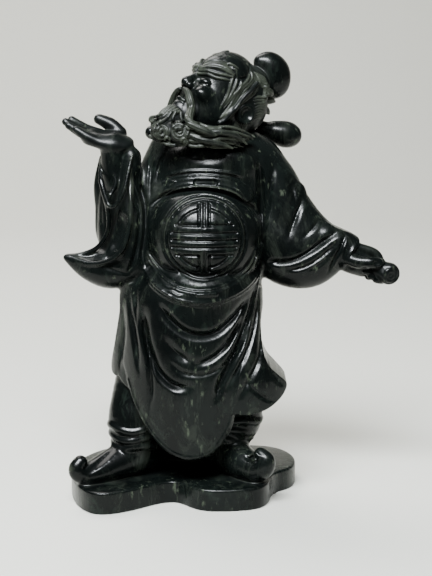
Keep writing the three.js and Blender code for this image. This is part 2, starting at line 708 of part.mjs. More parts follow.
// A cloth rolled across the back of the shoulders, with a full end at the right.
function shoulderRoll(clay) {
  clay.add(limb([
    [-18, 14, 204, 3.9], [-8, 18, 206, 5], [8, 23, 208, 6.2], [26, 25, 208, 6], [40, 23, 206.5, 4.6],
    [47, 22, 205, 4.6], [52, 22.5, 203.5, 6.6], [57.5, 23.5, 202.3, 7.6], [60, 24, 201.8, 6.8],
  ]), 1.5);
}

const head = frameOf(headCentre, faceTurn, faceTilt);
const headSides = [
  { view: viewOf([-1, 0, 0], [0, 0, 1], 3, 30, head), sign: -1 },
  { view: viewOf([1, 0, 0], [0, 0, 1], 3, 30, head), sign: 1 },
];

function skull(clay) {
  clay.add(blob([0, 0, 1], [20, 16.5, 22], head), 2);
  clay.add(blob([5, 0, -11], [14, 13.5, 13], head), 4);
  clay.add(limb([[22, 8, 200, 13], [20, 5, 212, 12]]), 4);
}

// The crown is smooth and shaven in front.
function crown(clay) {
  clay.add(blob([2, 0, 9.4], [18.6, 17, 19.8], head), 1);
}

// Locks sweep from the crown to the knot, and from the temples down past disc-shaped ears.
function hair(clay) {
  clay.add(blob([-11, 0, 7], [15.5, 15.6, 19], head), 2);
  clay.add(blob([-9, 0, 17], [13, 14.4, 13.6], head), 2);
  clay.add(blob([-14, 0, 7], [14, 13, 14], head), 2);
  clay.add(blob([-13, 0, -8], [11, 13, 12], head), 3);
  const lip = [[17, 17.2], [12.5, 15], [9.4, 13.9], [5.2, 13.4], [1.9, 16.6], [1.5, 21.4], [3, 26.5]];
  const sweeps = [
    ...fanned(
      [[1.6, 24.5], [0.2, 19.6], [1, 14.4], [1.8, 9], [1.2, 3], [1, -3.5], [1, -10]],
      [[-4.6, 26.5], [-7.6, 21], [-7.2, 13.6], [-5.4, 8], [-3.6, 1.6], [-3, -5], [-2.4, -11]],
      3,
    ),
    ...fanned(
      [[-2, 29.4], [-7, 28.6], [-11, 26.4], [-15, 22.6], [-18, 19]],
      [[-6, 22], [-9.6, 21], [-12.4, 19.4], [-14.6, 16.4], [-17, 13]],
      3,
    ),
    ...fanned(
      [[-8.8, 10.4], [-12, 14], [-17, 17], [-23, 18.6]],
      [[-17.6, 2.4], [-20, 5.6], [-23.6, 7.4], [-27.4, 8]],
      4,
    ),
    [[8.6, 12], [7, 7.4], [5.4, 1.5], [4.6, -4.6]],
    ...fanned([[-16.4, 0], [-18.6, -4], [-21, -8]], [[-9, -6], [-10.6, -9.4], [-13, -13]], 3),
  ];
  const strokes = [groove(lip, 1.6, 1.3), ...sweeps.map((row) => ridge(row, lockWide, lockTall))];
  for (const { view, sign } of headSides) {
    drawOn(clay, view, strokes.map((stroke) => stroke.map(([f, ...rest]) => [sign * f, ...rest])));
    const locks = [
      [[-12, 12.5 * sign, 17, 1.6], [-16, 11.5 * sign, 20.6, 2.4], [-19.4, 9.5 * sign, 21.6, 1.6]],
      [[-17, 9.5 * sign, 15.6, 2], [-22, 7 * sign, 19.4, 2.3], [-27, 3.4 * sign, 22, 1]],
      [[-19, 9 * sign, 11, 1.8], [-24, 6 * sign, 14, 2], [-28.4, 3 * sign, 14.6, 1]],
      [[-18, 8.5 * sign, 5, 1.8], [-23, 6.5 * sign, 7.4, 2], [-27.6, 3 * sign, 8.6, 1]],
    ];
    for (const lock of locks) clay.add(limb(head.path(lock)), 0.6);
    clay.add(blob([-9.7, 15 * sign, 0.6], [5.4, 2.6, 5.4], head), 0.8);
    clay.carve(blob([-9.7, 18.6 * sign, 0.6], [4, 3, 4], head), 0.5);
  }
}

// The full pouch of a bound knot, and small curls over the brow.
function topknot(clay) {
  clay.add(limb(head.path([
    [-8.6, 0, 35, 5], [-13, 0, 36.2, 7.9], [-18, 0, 34.8, knotRadius], [-22.4, 0, 31.6, 8.2],
    [-25.2, 0, 28.2, 4.6],
  ])), 1);
  for (const [f, s, u] of [[16.2, 3.4, 19], [15, 1.4, 21.6], [13.5, 0, 24.3], [15, -3, 21.4]]) {
    clay.add(blob([f, s, u], [2, 2.2, 2.2], head), 0.8);
  }
}

// Calm, even features: lowered lids under full brows, round cheeks, a straight nose.
function face(clay) {
  clay.add(limb(head.path([[18.5, 0, 5.5, 2.2], [21, 0, 0.5, 2.3], [22.8, 0, -3.2, 2.9]])), 1.6);
  for (const s of [-1, 1]) {
    clay.add(blob([20.8, 2.9 * s, -4.2], [2.6, 2, 2], head), 0.8);
    clay.carve(blob([20.6, 7.4 * s, 1.8], [4.2, 5, 2.8], head), 2);
    clay.add(blob([16.2, 7.1 * s, 1.2], [3.6, 4.3, 2.7], head), 0.5);
    clay.add(blob([14.6, 9 * s, -5.6], [5.2, 5, 4.4], head), 3);
    const brow = [[19.6, 2.6, 6.8, 1.8], [18.2, 7, 9, 2.6], [14.4, 11.2, 10.8, 2.6], [9.4, 14, 12, 1.6]];
    clay.add(limb(head.path(brow.map(([f, side, u, r]) => [f, side * s, u, r]))), 1.5);
  }
  clay.add(limb(head.path([[18.6, -4, -13.6, 1.3], [20.4, 0, -13.3, 1.9], [18.6, 4, -13.6, 1.3]])), 0.8);
}

// The beard lies on the chest like a collar: it curls at the left and is swept to the right.
function beard(clay) {
  clay.add(limb([
    [-12, -17, 206.8, 4], [-5, -20, 207.3, 5.6], [6, -21.6, 206, 5.6], [18, -21.4, 204.8, 5.2],
    [27, -18.6, 204.2, 4.2], [33, -14.6, 203.6, 3], [37, -11, 203.4, 1.6],
  ]), 2);
  clay.add(limb(head.path([[14, 0, -19.5, 7], [18, 0, -25, 6.2], [19, -2, -29, 4.2]])), 3);
  clay.add(blob([-1.1, -22, 206], [6.6, 6.4, 6.6]), 2);
  clay.add(blob([-11.4, -20, 206.6], [5.2, 6, 5.2]), 2);
  const strands = fanned(
    [
      [3.6, -24, 213.2, 1.5], [9, -26.4, 210.9, 1.5], [16, -26.2, 209.6, 1.5],
      [24, -22.6, 209.4, 1.4], [31, -17.6, 207.6, 1.3], [38.6, -12, 203.8, 0.9],
    ],
    [
      [1.6, -24, 200.4, 1.5], [7, -24.2, 199.6, 1.5], [13, -24.2, 199.2, 1.5], [19, -23, 199, 1.4],
      [25, -20.4, 198.6, 1.3], [31, -17, 197.8, 0.9],
    ],
    strandCount,
  );
  strands.forEach((strand, n) => {
    const bulge = 3 * Math.sin((Math.PI * (n + 0.5)) / strandCount);
    clay.add(limb(strand.map(([x, y, z, r]) => [x, y - bulge, z, r])), 0.5);
  });
  const curls = [[[-10.8, -25.6, 207], 4.2], [[-1.4, -28, 207.4], 4.8]];
  for (const [middle, radius] of curls) clay.add(limb(curl(middle, radius, 1.2)), 0.4);
  const moustache = [
    [22.4, 1.8, -7.6, 1.6], [21.2, 6, -9, 1.9], [19, 9.4, -12.6, 2.1], [16.2, 11.4, -17, 2.2],
  ];
  const swept = [
    [3.6, -27.6, 213, 2.2], [7.4, -29.4, 210, 2], [12.6, -29.8, 207.6, 1.7], [18, -29, 205.4, 1],
  ];
  const tucked = [...moustache, [12.4, 11, -22, 1.8], [9.4, 9, -26, 1.2]];
  clay.add(limb([...head.path(moustache), ...swept]), 0.8);
  clay.add(limb(head.path(tucked.map(([f, s, u, r]) => [f, -s, u, r]))), 0.8);
}

// Folds that read from a step away, seen from the front and the back: a valley cut to a line is
// given by its points, half width and depth.
function drapery(clay) {
  const skirtFolds = [
    [
      [[-13.4, 116], [-7.9, 108.1], [-1.8, 102.4], [4.3, 99.2], [11.4, 98.2], [18.6, 99.8],
        [24.7, 104.4], [30.8, 110.7], [36.2, 119]],
      4.2, 3.8,
    ],
    [[[-9.6, 96.5], [-4.4, 89.4], [1.2, 85.4], [6, 84]], 4.2, 2.4],
    [[[5, 81.6], [13.5, 84.2], [20.6, 88.8], [27.7, 96.6], [33, 106]], 3.4, 3],
    [
      [[-7, 84], [0.1, 77.7], [9.3, 76.2], [16.5, 77.7], [23.7, 82], [30.8, 89.3], [36.4, 100]],
      2.4, 1.4,
    ],
    [
      [[-20.8, 112], [-20.8, 101.4], [-19.2, 93], [-16.8, 85.7], [-13.6, 78.3], [-8.6, 72.5],
        [-2.6, 69.3], [5, 70]],
      4, 3.8,
    ],
    [
      [[39.4, 124], [37.5, 111.4], [33.9, 101], [28.8, 88.4], [23.7, 77.8], [19.6, 69.3],
        [17.6, 60]],
      3.6, 3.6,
    ],
    [[[36.4, 120], [31.8, 105.6], [26.7, 96.2], [20.6, 87.4]], 2.2, 1.6],
    [[[41.8, 121.4], [40.1, 105.8], [37.1, 92.1], [29.9, 77.3], [22.6, 66]], 2.4, 2],
    [[[44.8, 117.6], [45, 99.7], [42, 83.8], [36.3, 72], [30, 61]], 3, 2],
    [[[-21, 106], [-19.4, 92.6], [-17.9, 78.7], [-17.5, 64.6], [-19.4, 50]], 2.6, 2],
    [[[-29.6, 119], [-27.1, 100], [-25.6, 88.9], [-23.6, 72]], 2.6, 2.2],
    [[[-33, 112], [-33, 96], [-35, 82], [-36.4, 72]], 2.2, 1.6],
    [[[33, 72], [40, 65], [46, 60], [52, 57]], 2.4, 1.4],
    [[[44, 96], [46, 80], [52, 70], [56, 65]], 2.4, 1.5],
  ];
  const sleeveFolds = [
    [
      [[-24.3, 186], [-24.3, 177.8], [-21.1, 166.9], [-20.7, 153.2], [-22.5, 138.9],
        [-20.4, 132.2]],
      2.4, 2.4,
    ],
    [
      [[-27, 184], [-27, 175.1], [-23.9, 161.4], [-24.6, 147.7], [-27.5, 135.5], [-31.4, 128.3]],
      2.2, 1.8,
    ],
    [[[40, 196], [42.5, 180], [43.5, 160], [43.2, 145], [43, 134]], 3.6, 3.8],
    [[[50, 190], [47.5, 172], [45, 150]], 2.6, 1.8],
    [[[46, 134.6], [53, 134.6], [61, 136.2], [69.4, 140.6], [77.5, 146.4], [86, 152]], 3, 3.2],
    [[[55, 130.4], [63, 131], [71, 134.4], [79, 140.4], [85.6, 147]], 1.8, 1.8],
    [[[68, 174], [62, 160], [57, 146]], 3, 2.2],
    [[[-47, 176], [-46.4, 164], [-44.6, 152]], 2, 1.4],
  ];
  drawOn(clay, front, [...skirtFolds, ...sleeveFolds].map((fold) => groove(...fold)), cutEdge);
  const chestFold = [
    [-10, 181.6], [-5, 183.8], [2, 185.2], [10, 185.6], [20, 185.2], [28, 184], [33, 182],
  ];
  const collarFolds = [
    [[-15.1, 204], [-16.8, 191.9], [-18, 181], [-18, 168]],
    [[-7.6, 198], [-11.9, 190.4], [-13.6, 185.6], [-15, 178]],
  ];
  const hem = [
    [-31, 70], [-26.5, 57], [-18, 42.5], [-10, 34], [-2, 29.6], [6, 28.6], [13.5, 30.6],
    [19.8, 36.6], [25.4, 46.5], [28, 58], [31, 75], [34, 92],
  ];
  drawOn(clay, front, [
    ridge(chestFold, 1.7, 1.3), ...collarFolds.map((fold) => groove(fold, 1.7, 1.6)), ridge(hem, 1.5, 0.6),
  ]);
  backDrapery(clay);
}

// Plainer behind: long folds from a broad girdle to the hem, and a few over the shoulders.
function backDrapery(clay) {
  const middle = -8;
  const folds = [];
  for (let i = 0; i < 7; i++) {
    const x = middle + 10 * (i - 3);
    const sway = 4 * Math.sin(2.1 * i);
    const rows = [[-12 + 0.25 * (x - middle), 122], [x + sway, 92], [x * 1.12, 56], [x * 1.1 - 2, 20]];
    folds.push(groove(rows, 3.6, 3));
  }
  for (let i = 0; i < 4; i++) {
    const x = -16 + 18 * (i - 1.5);
    folds.push(groove([[x - 4, 196], [-16 + 0.7 * (x + 16), 165], [-13 + 0.5 * (x + 13), 136]], 3, 2));
  }
  drawOn(clay, back, folds);
  const girdle = [[-46, 133], [-26, 128], [-8, 126.5], [12, 128], [30, 133]];
  drawOn(clay, back, [girdle.map(([x, z]) => [x, z, 6, 2.2])], flatEdge);
}

// Meshing: every cube of the grid is six tetrahedra, which always gives a closed surface.
const cubePaths = [[1, 3], [1, 5], [2, 3], [2, 6], [4, 5], [4, 6]];

function skinOf(clay) {
  const { field, size } = clay;
  const corner = [0, 1, 2, 3, 4, 5, 6, 7].map((c) => clay.index(c & 1, (c >> 1) & 1, (c >> 2) & 1));
  const points = [];
  const faces = [];
  const made = new Map();
  const placeOf = (n) => {
    const layer = Math.floor(n / size[0]);
    return clay.place(n % size[0], layer % size[1], Math.floor(layer / size[1]));
  };
  const crossing = (a, b) => {
    const [p, q] = a < b ? [a, b] : [b, a];
    const key = p * 8 + corner.indexOf(q - p);
    if (made.has(key)) return made.get(key);
    const share = field[p] / (field[p] - field[q]);
    const t = THREE.MathUtils.clamp(share, leastCrossing, 1 - leastCrossing);
    const [from, to] = [placeOf(p), placeOf(q)];
    made.set(key, points.length);
    points.push(from.map((v, i) => v + t * (to[i] - v)));
    return points.length - 1;
  };
  const turned = (a, b, c, inner) => {
    const [pa, pb, pc] = [a, b, c].map((n) => vec(points[n]));
    const normal = pb.sub(pa).cross(pc.clone().sub(pa));
    faces.push(normal.dot(vec(placeOf(inner)).sub(pa)) > 0 ? [a, c, b] : [a, b, c]);
  };
  for (let k = 0; k < size[2] - 1; k++) {
    for (let j = 0; j < size[1] - 1; j++) {
      for (let i = 0; i < size[0] - 1; i++) {
        const n = clay.index(i, j, k);
        const first = field[n] < 0;
        if (corner.every((c) => field[n + c] < 0 === first)) continue;
        for (const [u, v] of cubePaths) {
          const four = [n, n + corner[u], n + corner[v], n + corner[7]];
          const inner = four.filter((m) => field[m] < 0);
          const outer = four.filter((m) => field[m] >= 0);
          if (!inner.length || !outer.length) continue;
          if (inner.length === 1) turned(...outer.map((m) => crossing(inner[0], m)), inner[0]);
          else if (outer.length === 1) turned(...inner.map((m) => crossing(m, outer[0])), inner[0]);
          else {
            const [a, b] = [crossing(inner[0], outer[0]), crossing(inner[0], outer[1])];
            const [c, d] = [crossing(inner[1], outer[1]), crossing(inner[1], outer[0])];
            turned(a, b, c, inner[0]);
            turned(a, c, d, inner[1]);
          }
        }
      }
    }
  }
  return { points, faces };
}

// The block's own skin is the largest one; any other is the skin of a bubble inside it.
function outerSkin({ points, faces }) {
  const root = points.map((_, n) => n);
  const rootOf = (n) => {
    while (root[n] !== n) n = root[n] = root[root[n]];
    return n;
  };
  for (const [a, b, c] of faces) {
    root[rootOf(a)] = rootOf(b);
    root[rootOf(b)] = rootOf(c);
  }
  const counts = new Map();
  for (const [a] of faces) counts.set(rootOf(a), (counts.get(rootOf(a)) ?? 0) + 1);
  const [largest] = [...counts].sort((p, q) => q[1] - p[1])[0];
  return { points, faces: faces.filter(([a]) => rootOf(a) === largest) };
}

// Evens out the grid's small steps: each pass moves the points towards the middle of their
// neighbours, and the pass after it moves them nearly as far back, so that the size is kept.
function relaxed({ points, faces }) {
  for (const share of eveningShares) {
    const sums = new Float32Array(points.length * 4);
    for (const face of faces) {
      for (let i = 0; i < 3; i++) {
        const [p, q] = [face[i], face[(i + 1) % 3]];
        for (let k = 0; k < 3; k++) sums[4 * p + k] += points[q][k];
        sums[4 * p + 3]++;
      }
    }
    points.forEach((point, p) => {
      const count = sums[4 * p + 3];
      if (!count) return;
      for (let k = 0; k < 3; k++) point[k] += share * (sums[4 * p + k] / count - point[k]);
    });
  }
  return { points, faces };
}

// Thinning: the cheapest edge is closed up again and again, by quadric error.
class Thinner {
  constructor({ points, faces }) {
    this.points = points;
    this.faces = faces;
    this.around = points.map(() => []);
    this.errors = points.map(() => new Float64Array(10));
    this.stamp = new Int32Array(points.length);
    this.heap = [];
    this.left = faces.length;
    faces.forEach((face, n) => {
      const plane = this.planeOf(...face.map((p) => points[p]));
      for (const p of face) {
        this.around[p].push(n);
        this.addPlane(this.errors[p], plane);
      }
    });
  }

  planeOf(a, b, c) {
    const [ux, uy, uz] = [b[0] - a[0], b[1] - a[1], b[2] - a[2]];
    const [vx, vy, vz] = [c[0] - a[0], c[1] - a[1], c[2] - a[2]];
    const [x, y, z] = [uy * vz - uz * vy, uz * vx - ux * vz, ux * vy - uy * vx];
    const long = Math.sqrt(x * x + y * y + z * z) || 1e-12;
    const shift = -(x * a[0] + y * a[1] + z * a[2]) / long;
    return [x / long, y / long, z / long, shift, long / 2];
  }

  addPlane(q, [a, b, c, d, area]) {
    q[0] += a * a * area;
    q[1] += a * b * area;
    q[2] += a * c * area;
    q[3] += a * d * area;
    q[4] += b * b * area;
    q[5] += b * c * area;
    q[6] += b * d * area;
    q[7] += c * c * area;
    q[8] += c * d * area;
    q[9] += d * d * area;
  }

  cost(q, x, y, z) {
    const cross = q[1] * x * y + q[2] * x * z + q[3] * x + q[5] * y * z + q[6] * y + q[8] * z;
    return q[0] * x * x + q[4] * y * y + q[7] * z * z + q[9] + 2 * cross;
  }

  neighbours(p) {
    const found = [];
    for (const n of this.around[p]) {
      for (const v of this.faces[n]) if (v !== p && !found.includes(v)) found.push(v);
    }
    return found;
  }

  // The point of least error, from the quadric's own minimum or from a few points of the edge.
  push(a, b) {
    const q = new Float64Array(10);
    for (let i = 0; i < 10; i++) q[i] = this.errors[a][i] + this.errors[b][i];
    const [pa, pb] = [this.points[a], this.points[b]];
    const [dx, dy, dz] = [pb[0] - pa[0], pb[1] - pa[1], pb[2] - pa[2]];
    const span = dx * dx + dy * dy + dz * dz;
    const m00 = q[4] * q[7] - q[5] * q[5];
    const m01 = q[2] * q[5] - q[1] * q[7];
    const m02 = q[1] * q[5] - q[2] * q[4];
    const size = q[0] * m00 + q[1] * m01 + q[2] * m02;
    let place = null;
    if (Math.abs(size) > leastSize) {
      const m11 = q[0] * q[7] - q[2] * q[2];
      const m12 = q[1] * q[2] - q[0] * q[5];
      const m22 = q[0] * q[4] - q[1] * q[1];
      const x = -(m00 * q[3] + m01 * q[6] + m02 * q[8]) / size;
      const y = -(m01 * q[3] + m11 * q[6] + m12 * q[8]) / size;
      const z = -(m02 * q[3] + m12 * q[6] + m22 * q[8]) / size;
      const away = (x - pa[0] - dx / 2) ** 2 + (y - pa[1] - dy / 2) ** 2 + (z - pa[2] - dz / 2) ** 2;
      if (away < 2 * span) place = [x, y, z];
    }
    if (!place) {
      const trials = edgeShares.map((t) => [pa[0] + t * dx, pa[1] + t * dy, pa[2] + t * dz]);
      const costs = trials.map((trial) => this.cost(q, ...trial));
      place = trials[costs.indexOf(Math.min(...costs))];
    }
    const cost = this.cost(q, ...place) + spanWeight * span;
    const item = { a, b, place, cost, sa: this.stamp[a], sb: this.stamp[b] };
    let n = this.heap.push(item) - 1;
    while (n > 0) {
      const up = (n - 1) >> 1;
      if (this.heap[up].cost <= item.cost) break;
      this.heap[n] = this.heap[up];
      n = up;
    }
    this.heap[n] = item;
  }

  pop() {
    const { heap } = this;
    const top = heap[0];
    const last = heap.pop();
    if (!heap.length) return top;
    let n = 0;
    for (;;) {
      let down = 2 * n + 1;
      if (down >= heap.length) break;
      if (down + 1 < heap.length && heap[down + 1].cost < heap[down].cost) down++;
      if (heap[down].cost >= last.cost) break;
      heap[n] = heap[down];
      n = down;
    }
    heap[n] = last;
    return top;
  }

  // Closing an edge keeps the surface sound if no face turns over and the ring stays simple.
  allowed(a, b, place) {
    const beside = this.neighbours(b);
    if (this.neighbours(a).filter((p) => beside.includes(p)).length !== 2) return false;
    for (const [p, other] of [[a, b], [b, a]]) {
      for (const n of this.around[p]) {
        const face = this.faces[n];
        if (face.includes(other)) continue;
        const before = this.planeOf(...face.map((v) => this.points[v]));
        const after = this.planeOf(...face.map((v) => (v === p ? place : this.points[v])));
        const turn = before[0] * after[0] + before[1] * after[1] + before[2] * after[2];
        if (turn < leastTurn || after[4] < leastArea) return false;
      }
    }
    return true;
  }

  run(target) {
    for (const [a, b, c] of this.faces) {
      for (const [p, q] of [[a, b], [b, c], [c, a]]) if (p < q) this.push(p, q);
    }
    while (this.left > target && this.heap.length) {
      const { a, b, place, sa, sb } = this.pop();
      if (this.stamp[a] !== sa || this.stamp[b] !== sb || !this.allowed(a, b, place)) continue;
      this.points[a] = place;
      for (let i = 0; i < 10; i++) this.errors[a][i] += this.errors[b][i];
      const gone = this.around[b].filter((n) => this.faces[n].includes(a));
      for (const n of this.around[b]) {
        if (gone.includes(n)) continue;
        this.faces[n][this.faces[n].indexOf(b)] = a;
        this.around[a].push(n);
      }
      for (const n of gone) {
        for (const p of this.faces[n]) this.around[p] = this.around[p].filter((m) => m !== n);
        this.faces[n] = null;
      }
      this.left -= gone.length;
      this.stamp[b] = -1;
      this.stamp[a]++;
      for (const p of this.neighbours(a)) this.push(a, p);
    }
    return this.faces.filter(Boolean);
  }
}

function carvedBlock() {
  const clay = new Clay(blockLow, blockHigh, cell);
  const steps = [
    plinth, legs, torso, skirts, belts, roundel, raisedSleeve, openHand, loweredSleeve, fist,
    drapery, shoulderRoll, skull, crown, hair, topknot, face, beard,
  ];
  steps.forEach((step) => step(clay));
  return clay;
}

function facetedBody(clay) {
  const thinner = new Thinner(relaxed(outerSkin(skinOf(clay))));
  const faces = thinner.run(facets);
  const used = new Map();
  const positions = [];
  const index = faces.flat().map((p) => {
    if (!used.has(p)) {
      used.set(p, positions.length / 3);
      const [x, y, z] = thinner.points[p];
      positions.push(x, y, z < undersideLevel ? 0 : z);
    }
    return used.get(p);
  });
  return new THREE.BufferGeometry()
    .setAttribute("position", new THREE.Float32BufferAttribute(positions, 3))
    .setIndex(index);
}

const stone = new THREE.MeshStandardMaterial({
  color: stoneColour,
  roughness: stoneRoughness,
  metalness: 0,
});

const figure = new THREE.Mesh(facetedBody(carvedBlock()), stone);
figure.name = "stone_figure";

const part = new THREE.Group();
part.add(figure);

export default part;
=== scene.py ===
import math

import bpy
import numpy as np
import openvdb
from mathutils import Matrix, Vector


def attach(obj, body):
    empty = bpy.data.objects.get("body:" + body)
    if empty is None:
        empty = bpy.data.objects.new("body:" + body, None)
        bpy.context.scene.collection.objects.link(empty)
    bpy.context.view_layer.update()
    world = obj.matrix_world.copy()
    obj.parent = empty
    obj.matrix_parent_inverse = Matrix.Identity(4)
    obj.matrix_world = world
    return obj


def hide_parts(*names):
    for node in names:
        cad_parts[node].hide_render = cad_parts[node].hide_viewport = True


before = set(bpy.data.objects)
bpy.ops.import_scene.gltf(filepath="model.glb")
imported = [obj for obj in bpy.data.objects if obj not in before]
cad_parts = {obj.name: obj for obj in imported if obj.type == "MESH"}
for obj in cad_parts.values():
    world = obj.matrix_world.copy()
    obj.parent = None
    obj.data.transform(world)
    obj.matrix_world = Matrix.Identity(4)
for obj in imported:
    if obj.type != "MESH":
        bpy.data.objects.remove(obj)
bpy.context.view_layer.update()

# A carved dark green stone warrior on a lobed plinth. The shape is worked like clay on a grid of
# distances, in millimetres and in the frame's own axes, and turned into metres when it is meshed:
# the figure faces -Y, and "left" and "right" are the viewer's.
millimetre = 0.001
clayWork = {
    "carvedBody": {
        "voxel": 0.5, "quickVoxel": 1.0, "triangles": 196000, "evening": 2,
        "low": (-71, -51, -4), "high": (127, 51, 222),
    },
    "carvedHead": {
        "voxel": 0.32, "quickVoxel": 0.7, "triangles": 190000, "evening": 1,
        "low": (-26, -36, 182), "high": (64, 34, 256),
    },
}
far = 10.0          # what the grid holds away from every surface
margin = 6.0        # how far round a form its distances are kept
sheetStep = 0.4     # between the samples of a sheet
cutSharpness = 1.6  # how steeply a cut to a line falls away
reliefReach = margin * 0.7          # how far from the skin relief is drawn
reliefGain, reliefStart = 3.0, 0.3  # how fast it comes in as the skin turns to the eye
hollowReach = 2.4   # how far out a hollow is felt for
ridgeReach = 1.2    # how far in a ridge is felt for, where crests get their wear and painted highlight
skinVoxels = 3      # how far from the skin, in voxels, distances are kept when it is meshed
evenShare = 0.5     # how far each round of evening moves a point
# a strand is laid on the clay where a ray meets it: from how far, and how far the ray goes
laySlack, layStart, layReach = 7, 3, 40


# Numbers and paths

def smooth01(t):
    c = np.clip(t, 0, 1)
    return c * c * (3 - 2 * c)


def smoothRows(rows, perSpan=6, closed=False):
    # control rows of any width become a smooth row of values, as a Catmull-Rom spline
    rows = np.array(rows, float)
    count = len(rows)
    spans = count if closed else count - 1
    at = (lambda i: rows[i % count]) if closed else (lambda i: rows[min(count - 1, max(0, i))])
    out = []
    for i in range(spans):
        a, b, c, d = at(i - 1), at(i), at(i + 1), at(i + 2)
        for t in np.arange(perSpan) / perSpan:
            lean = 2 * a - 5 * b + 4 * c - d
            bend = 3 * (b - c) + d - a
            out.append(b + 0.5 * t * (c - a + t * (lean + t * bend)))
    if not closed:
        out.append(rows[-1])
    return np.array(out)


class Frame:
    # a turned local frame, such as the head's: forward, side and up
    def __init__(self, origin, forward, side, up):
        self.origin = np.array(origin, float)
        self.axes = np.array([forward, side, up], float)

    def point(self, forward, side, up):
        return self.origin + np.array([forward, side, up], float) @ self.axes

    def path(self, rows):
        return [[*self.point(*row[:3]), row[3]] for row in rows]


worldFrame = Frame((0, 0, 0), (1, 0, 0), (0, 1, 0), (0, 0, 1))


def frameOf(origin, turn, tilt):
    a, b = math.radians(turn), math.radians(tilt)
    level = np.array([-math.sin(a), -math.cos(a), 0])
    upright = np.array([0, 0, 1])
    forward = level * math.cos(b) + upright * math.sin(b)
    up = upright * math.cos(b) - level * math.sin(b)
    return Frame(origin, forward, np.cross(up, forward), up)


# Forms: each is the box that it lies in and its distance over the points of a part of the grid

class Form:
    def __init__(self, low, high, distance):
        self.low, self.high, self.distance = np.array(low, float), np.array(high, float), distance


def blob(centre, radii, frameUsed=worldFrame):
    middle = frameUsed.point(*centre)
    radii = np.array(radii, float)
    reach = radii.max()

    def distance(x, y, z):
        steps = (x - middle[0], y - middle[1], z - middle[2])
        shares = [sum(p * float(k) for p, k in zip(steps, axis / r))
                  for axis, r in zip(frameUsed.axes, radii)]
        near = np.sqrt(sum(s * s for s in shares))
        slope = np.sqrt(sum((s / r) ** 2 for s, r in zip(shares, radii)))
        return near * (near - 1) / np.maximum(slope, 1e-6)

    return Form(middle - reach, middle + reach, distance)


def nearPart(axes, low, high):
    # the part of a grid block, given by its three coordinate arrays, that lies in a box
    return tuple(
        slice(*np.searchsorted(axis.ravel(), (a, b))) for axis, a, b in zip(axes, low, high)
    )


def limb(path, flat=1, across=(0, 1, 0), perSpan=5):
    # a rounded tube along a smooth path of x, y, z, radius; flat thins it along one axis
    rows = smoothRows(path, perSpan)
    thin = np.array(across, float) / np.linalg.norm(across)
    stretch = 1 / flat - 1

    def distance(x, y, z):
        out = np.full((x.size, y.size, z.size), far, np.float32)
        for a, b in zip(rows[:-1], rows[1:]):
            low = np.minimum(a[:3] - a[3], b[:3] - b[3]) - margin
            high = np.maximum(a[:3] + a[3], b[:3] + b[3]) + margin
            part = nearPart((x, y, z), low, high)
            d = (b - a).astype(np.float32)
            long = max(1e-6, float(d[:3] @ d[:3]))
            px = x[part[0]] - np.float32(a[0])
            py = y[:, part[1]] - np.float32(a[1])
            pz = z[:, :, part[2]] - np.float32(a[2])
            t = np.clip((px * d[0] + py * d[1] + pz * d[2]) / np.float32(long), 0, 1)
            px = px - t * d[0]
            py = py - t * d[1]
            pz = pz - t * d[2]
            if flat != 1:
                more = (px * thin[0] + py * thin[1] + pz * thin[2]) * stretch
                px, py, pz = px + more * thin[0], py + more * thin[1], pz + more * thin[2]
            own = np.sqrt(px * px + py * py + pz * pz) - np.float32(a[3]) - t * d[3]
            np.minimum(out[part], own, out=out[part], casting="unsafe")
        return out * np.float32(math.sqrt(flat))

    reach = rows[:, 3:4]
    return Form((rows[:, :3] - reach).min(0), (rows[:, :3] + reach).max(0), distance)


def column(rings):
    # a standing mass given by ellipses: height, middle x, middle y, half width, half depth
    rows = smoothRows(rings, 6)
    heights = rows[:, 0]

    def distance(x, y, z):
        cx, cy, rx, ry = (np.interp(z, heights, rows[:, k]).astype(np.float32) for k in range(1, 5))
        u, v = (x - cx) / rx, (y - cy) / ry
        near = np.sqrt(u * u + v * v)
        slope = np.sqrt((u / rx) ** 2 + (v / ry) ** 2)
        side = near * (near - 1) / np.maximum(slope, 1e-6)
        return np.maximum(side, np.maximum(heights[0] - z, z - heights[-1]))

    low = ((rows[:, 1] - rows[:, 3]).min(), (rows[:, 2] - rows[:, 4]).min(), heights[0])
    high = ((rows[:, 1] + rows[:, 3]).max(), (rows[:, 2] + rows[:, 4]).max(), heights[-1])
    return Form(low, high, distance)


class Sheet:
    # values on a flat sheet, read between its samples
    def __init__(self, low, high, fill, outside):
        self.low = np.array(low, float)
        self.size = np.ceil((np.array(high) - low) / sheetStep).astype(int) + 2
        self.values = np.full(self.size, fill, np.float32)
        self.outside = outside

    def axes(self):
        u, v = (self.low[k] + sheetStep * np.arange(self.size[k]) for k in range(2))
        return u[:, None], v[None, :]

    def at(self, u, v):
        u, v = np.broadcast_arrays((u - self.low[0]) / sheetStep, (v - self.low[1]) / sheetStep)
        i, j = np.floor(u).astype(np.int32), np.floor(v).astype(np.int32)
        outside = (i < 0) | (j < 0) | (i >= self.size[0] - 1) | (j >= self.size[1] - 1)
        i, j = np.clip(i, 0, self.size[0] - 2), np.clip(j, 0, self.size[1] - 2)
        s, t = u - i, v - j
        low = self.values[i, j] * (1 - s) + self.values[i + 1, j] * s
        high = self.values[i, j + 1] * (1 - s) + self.values[i + 1, j + 1] * s
        return np.where(outside, self.outside, low * (1 - t) + high * t)


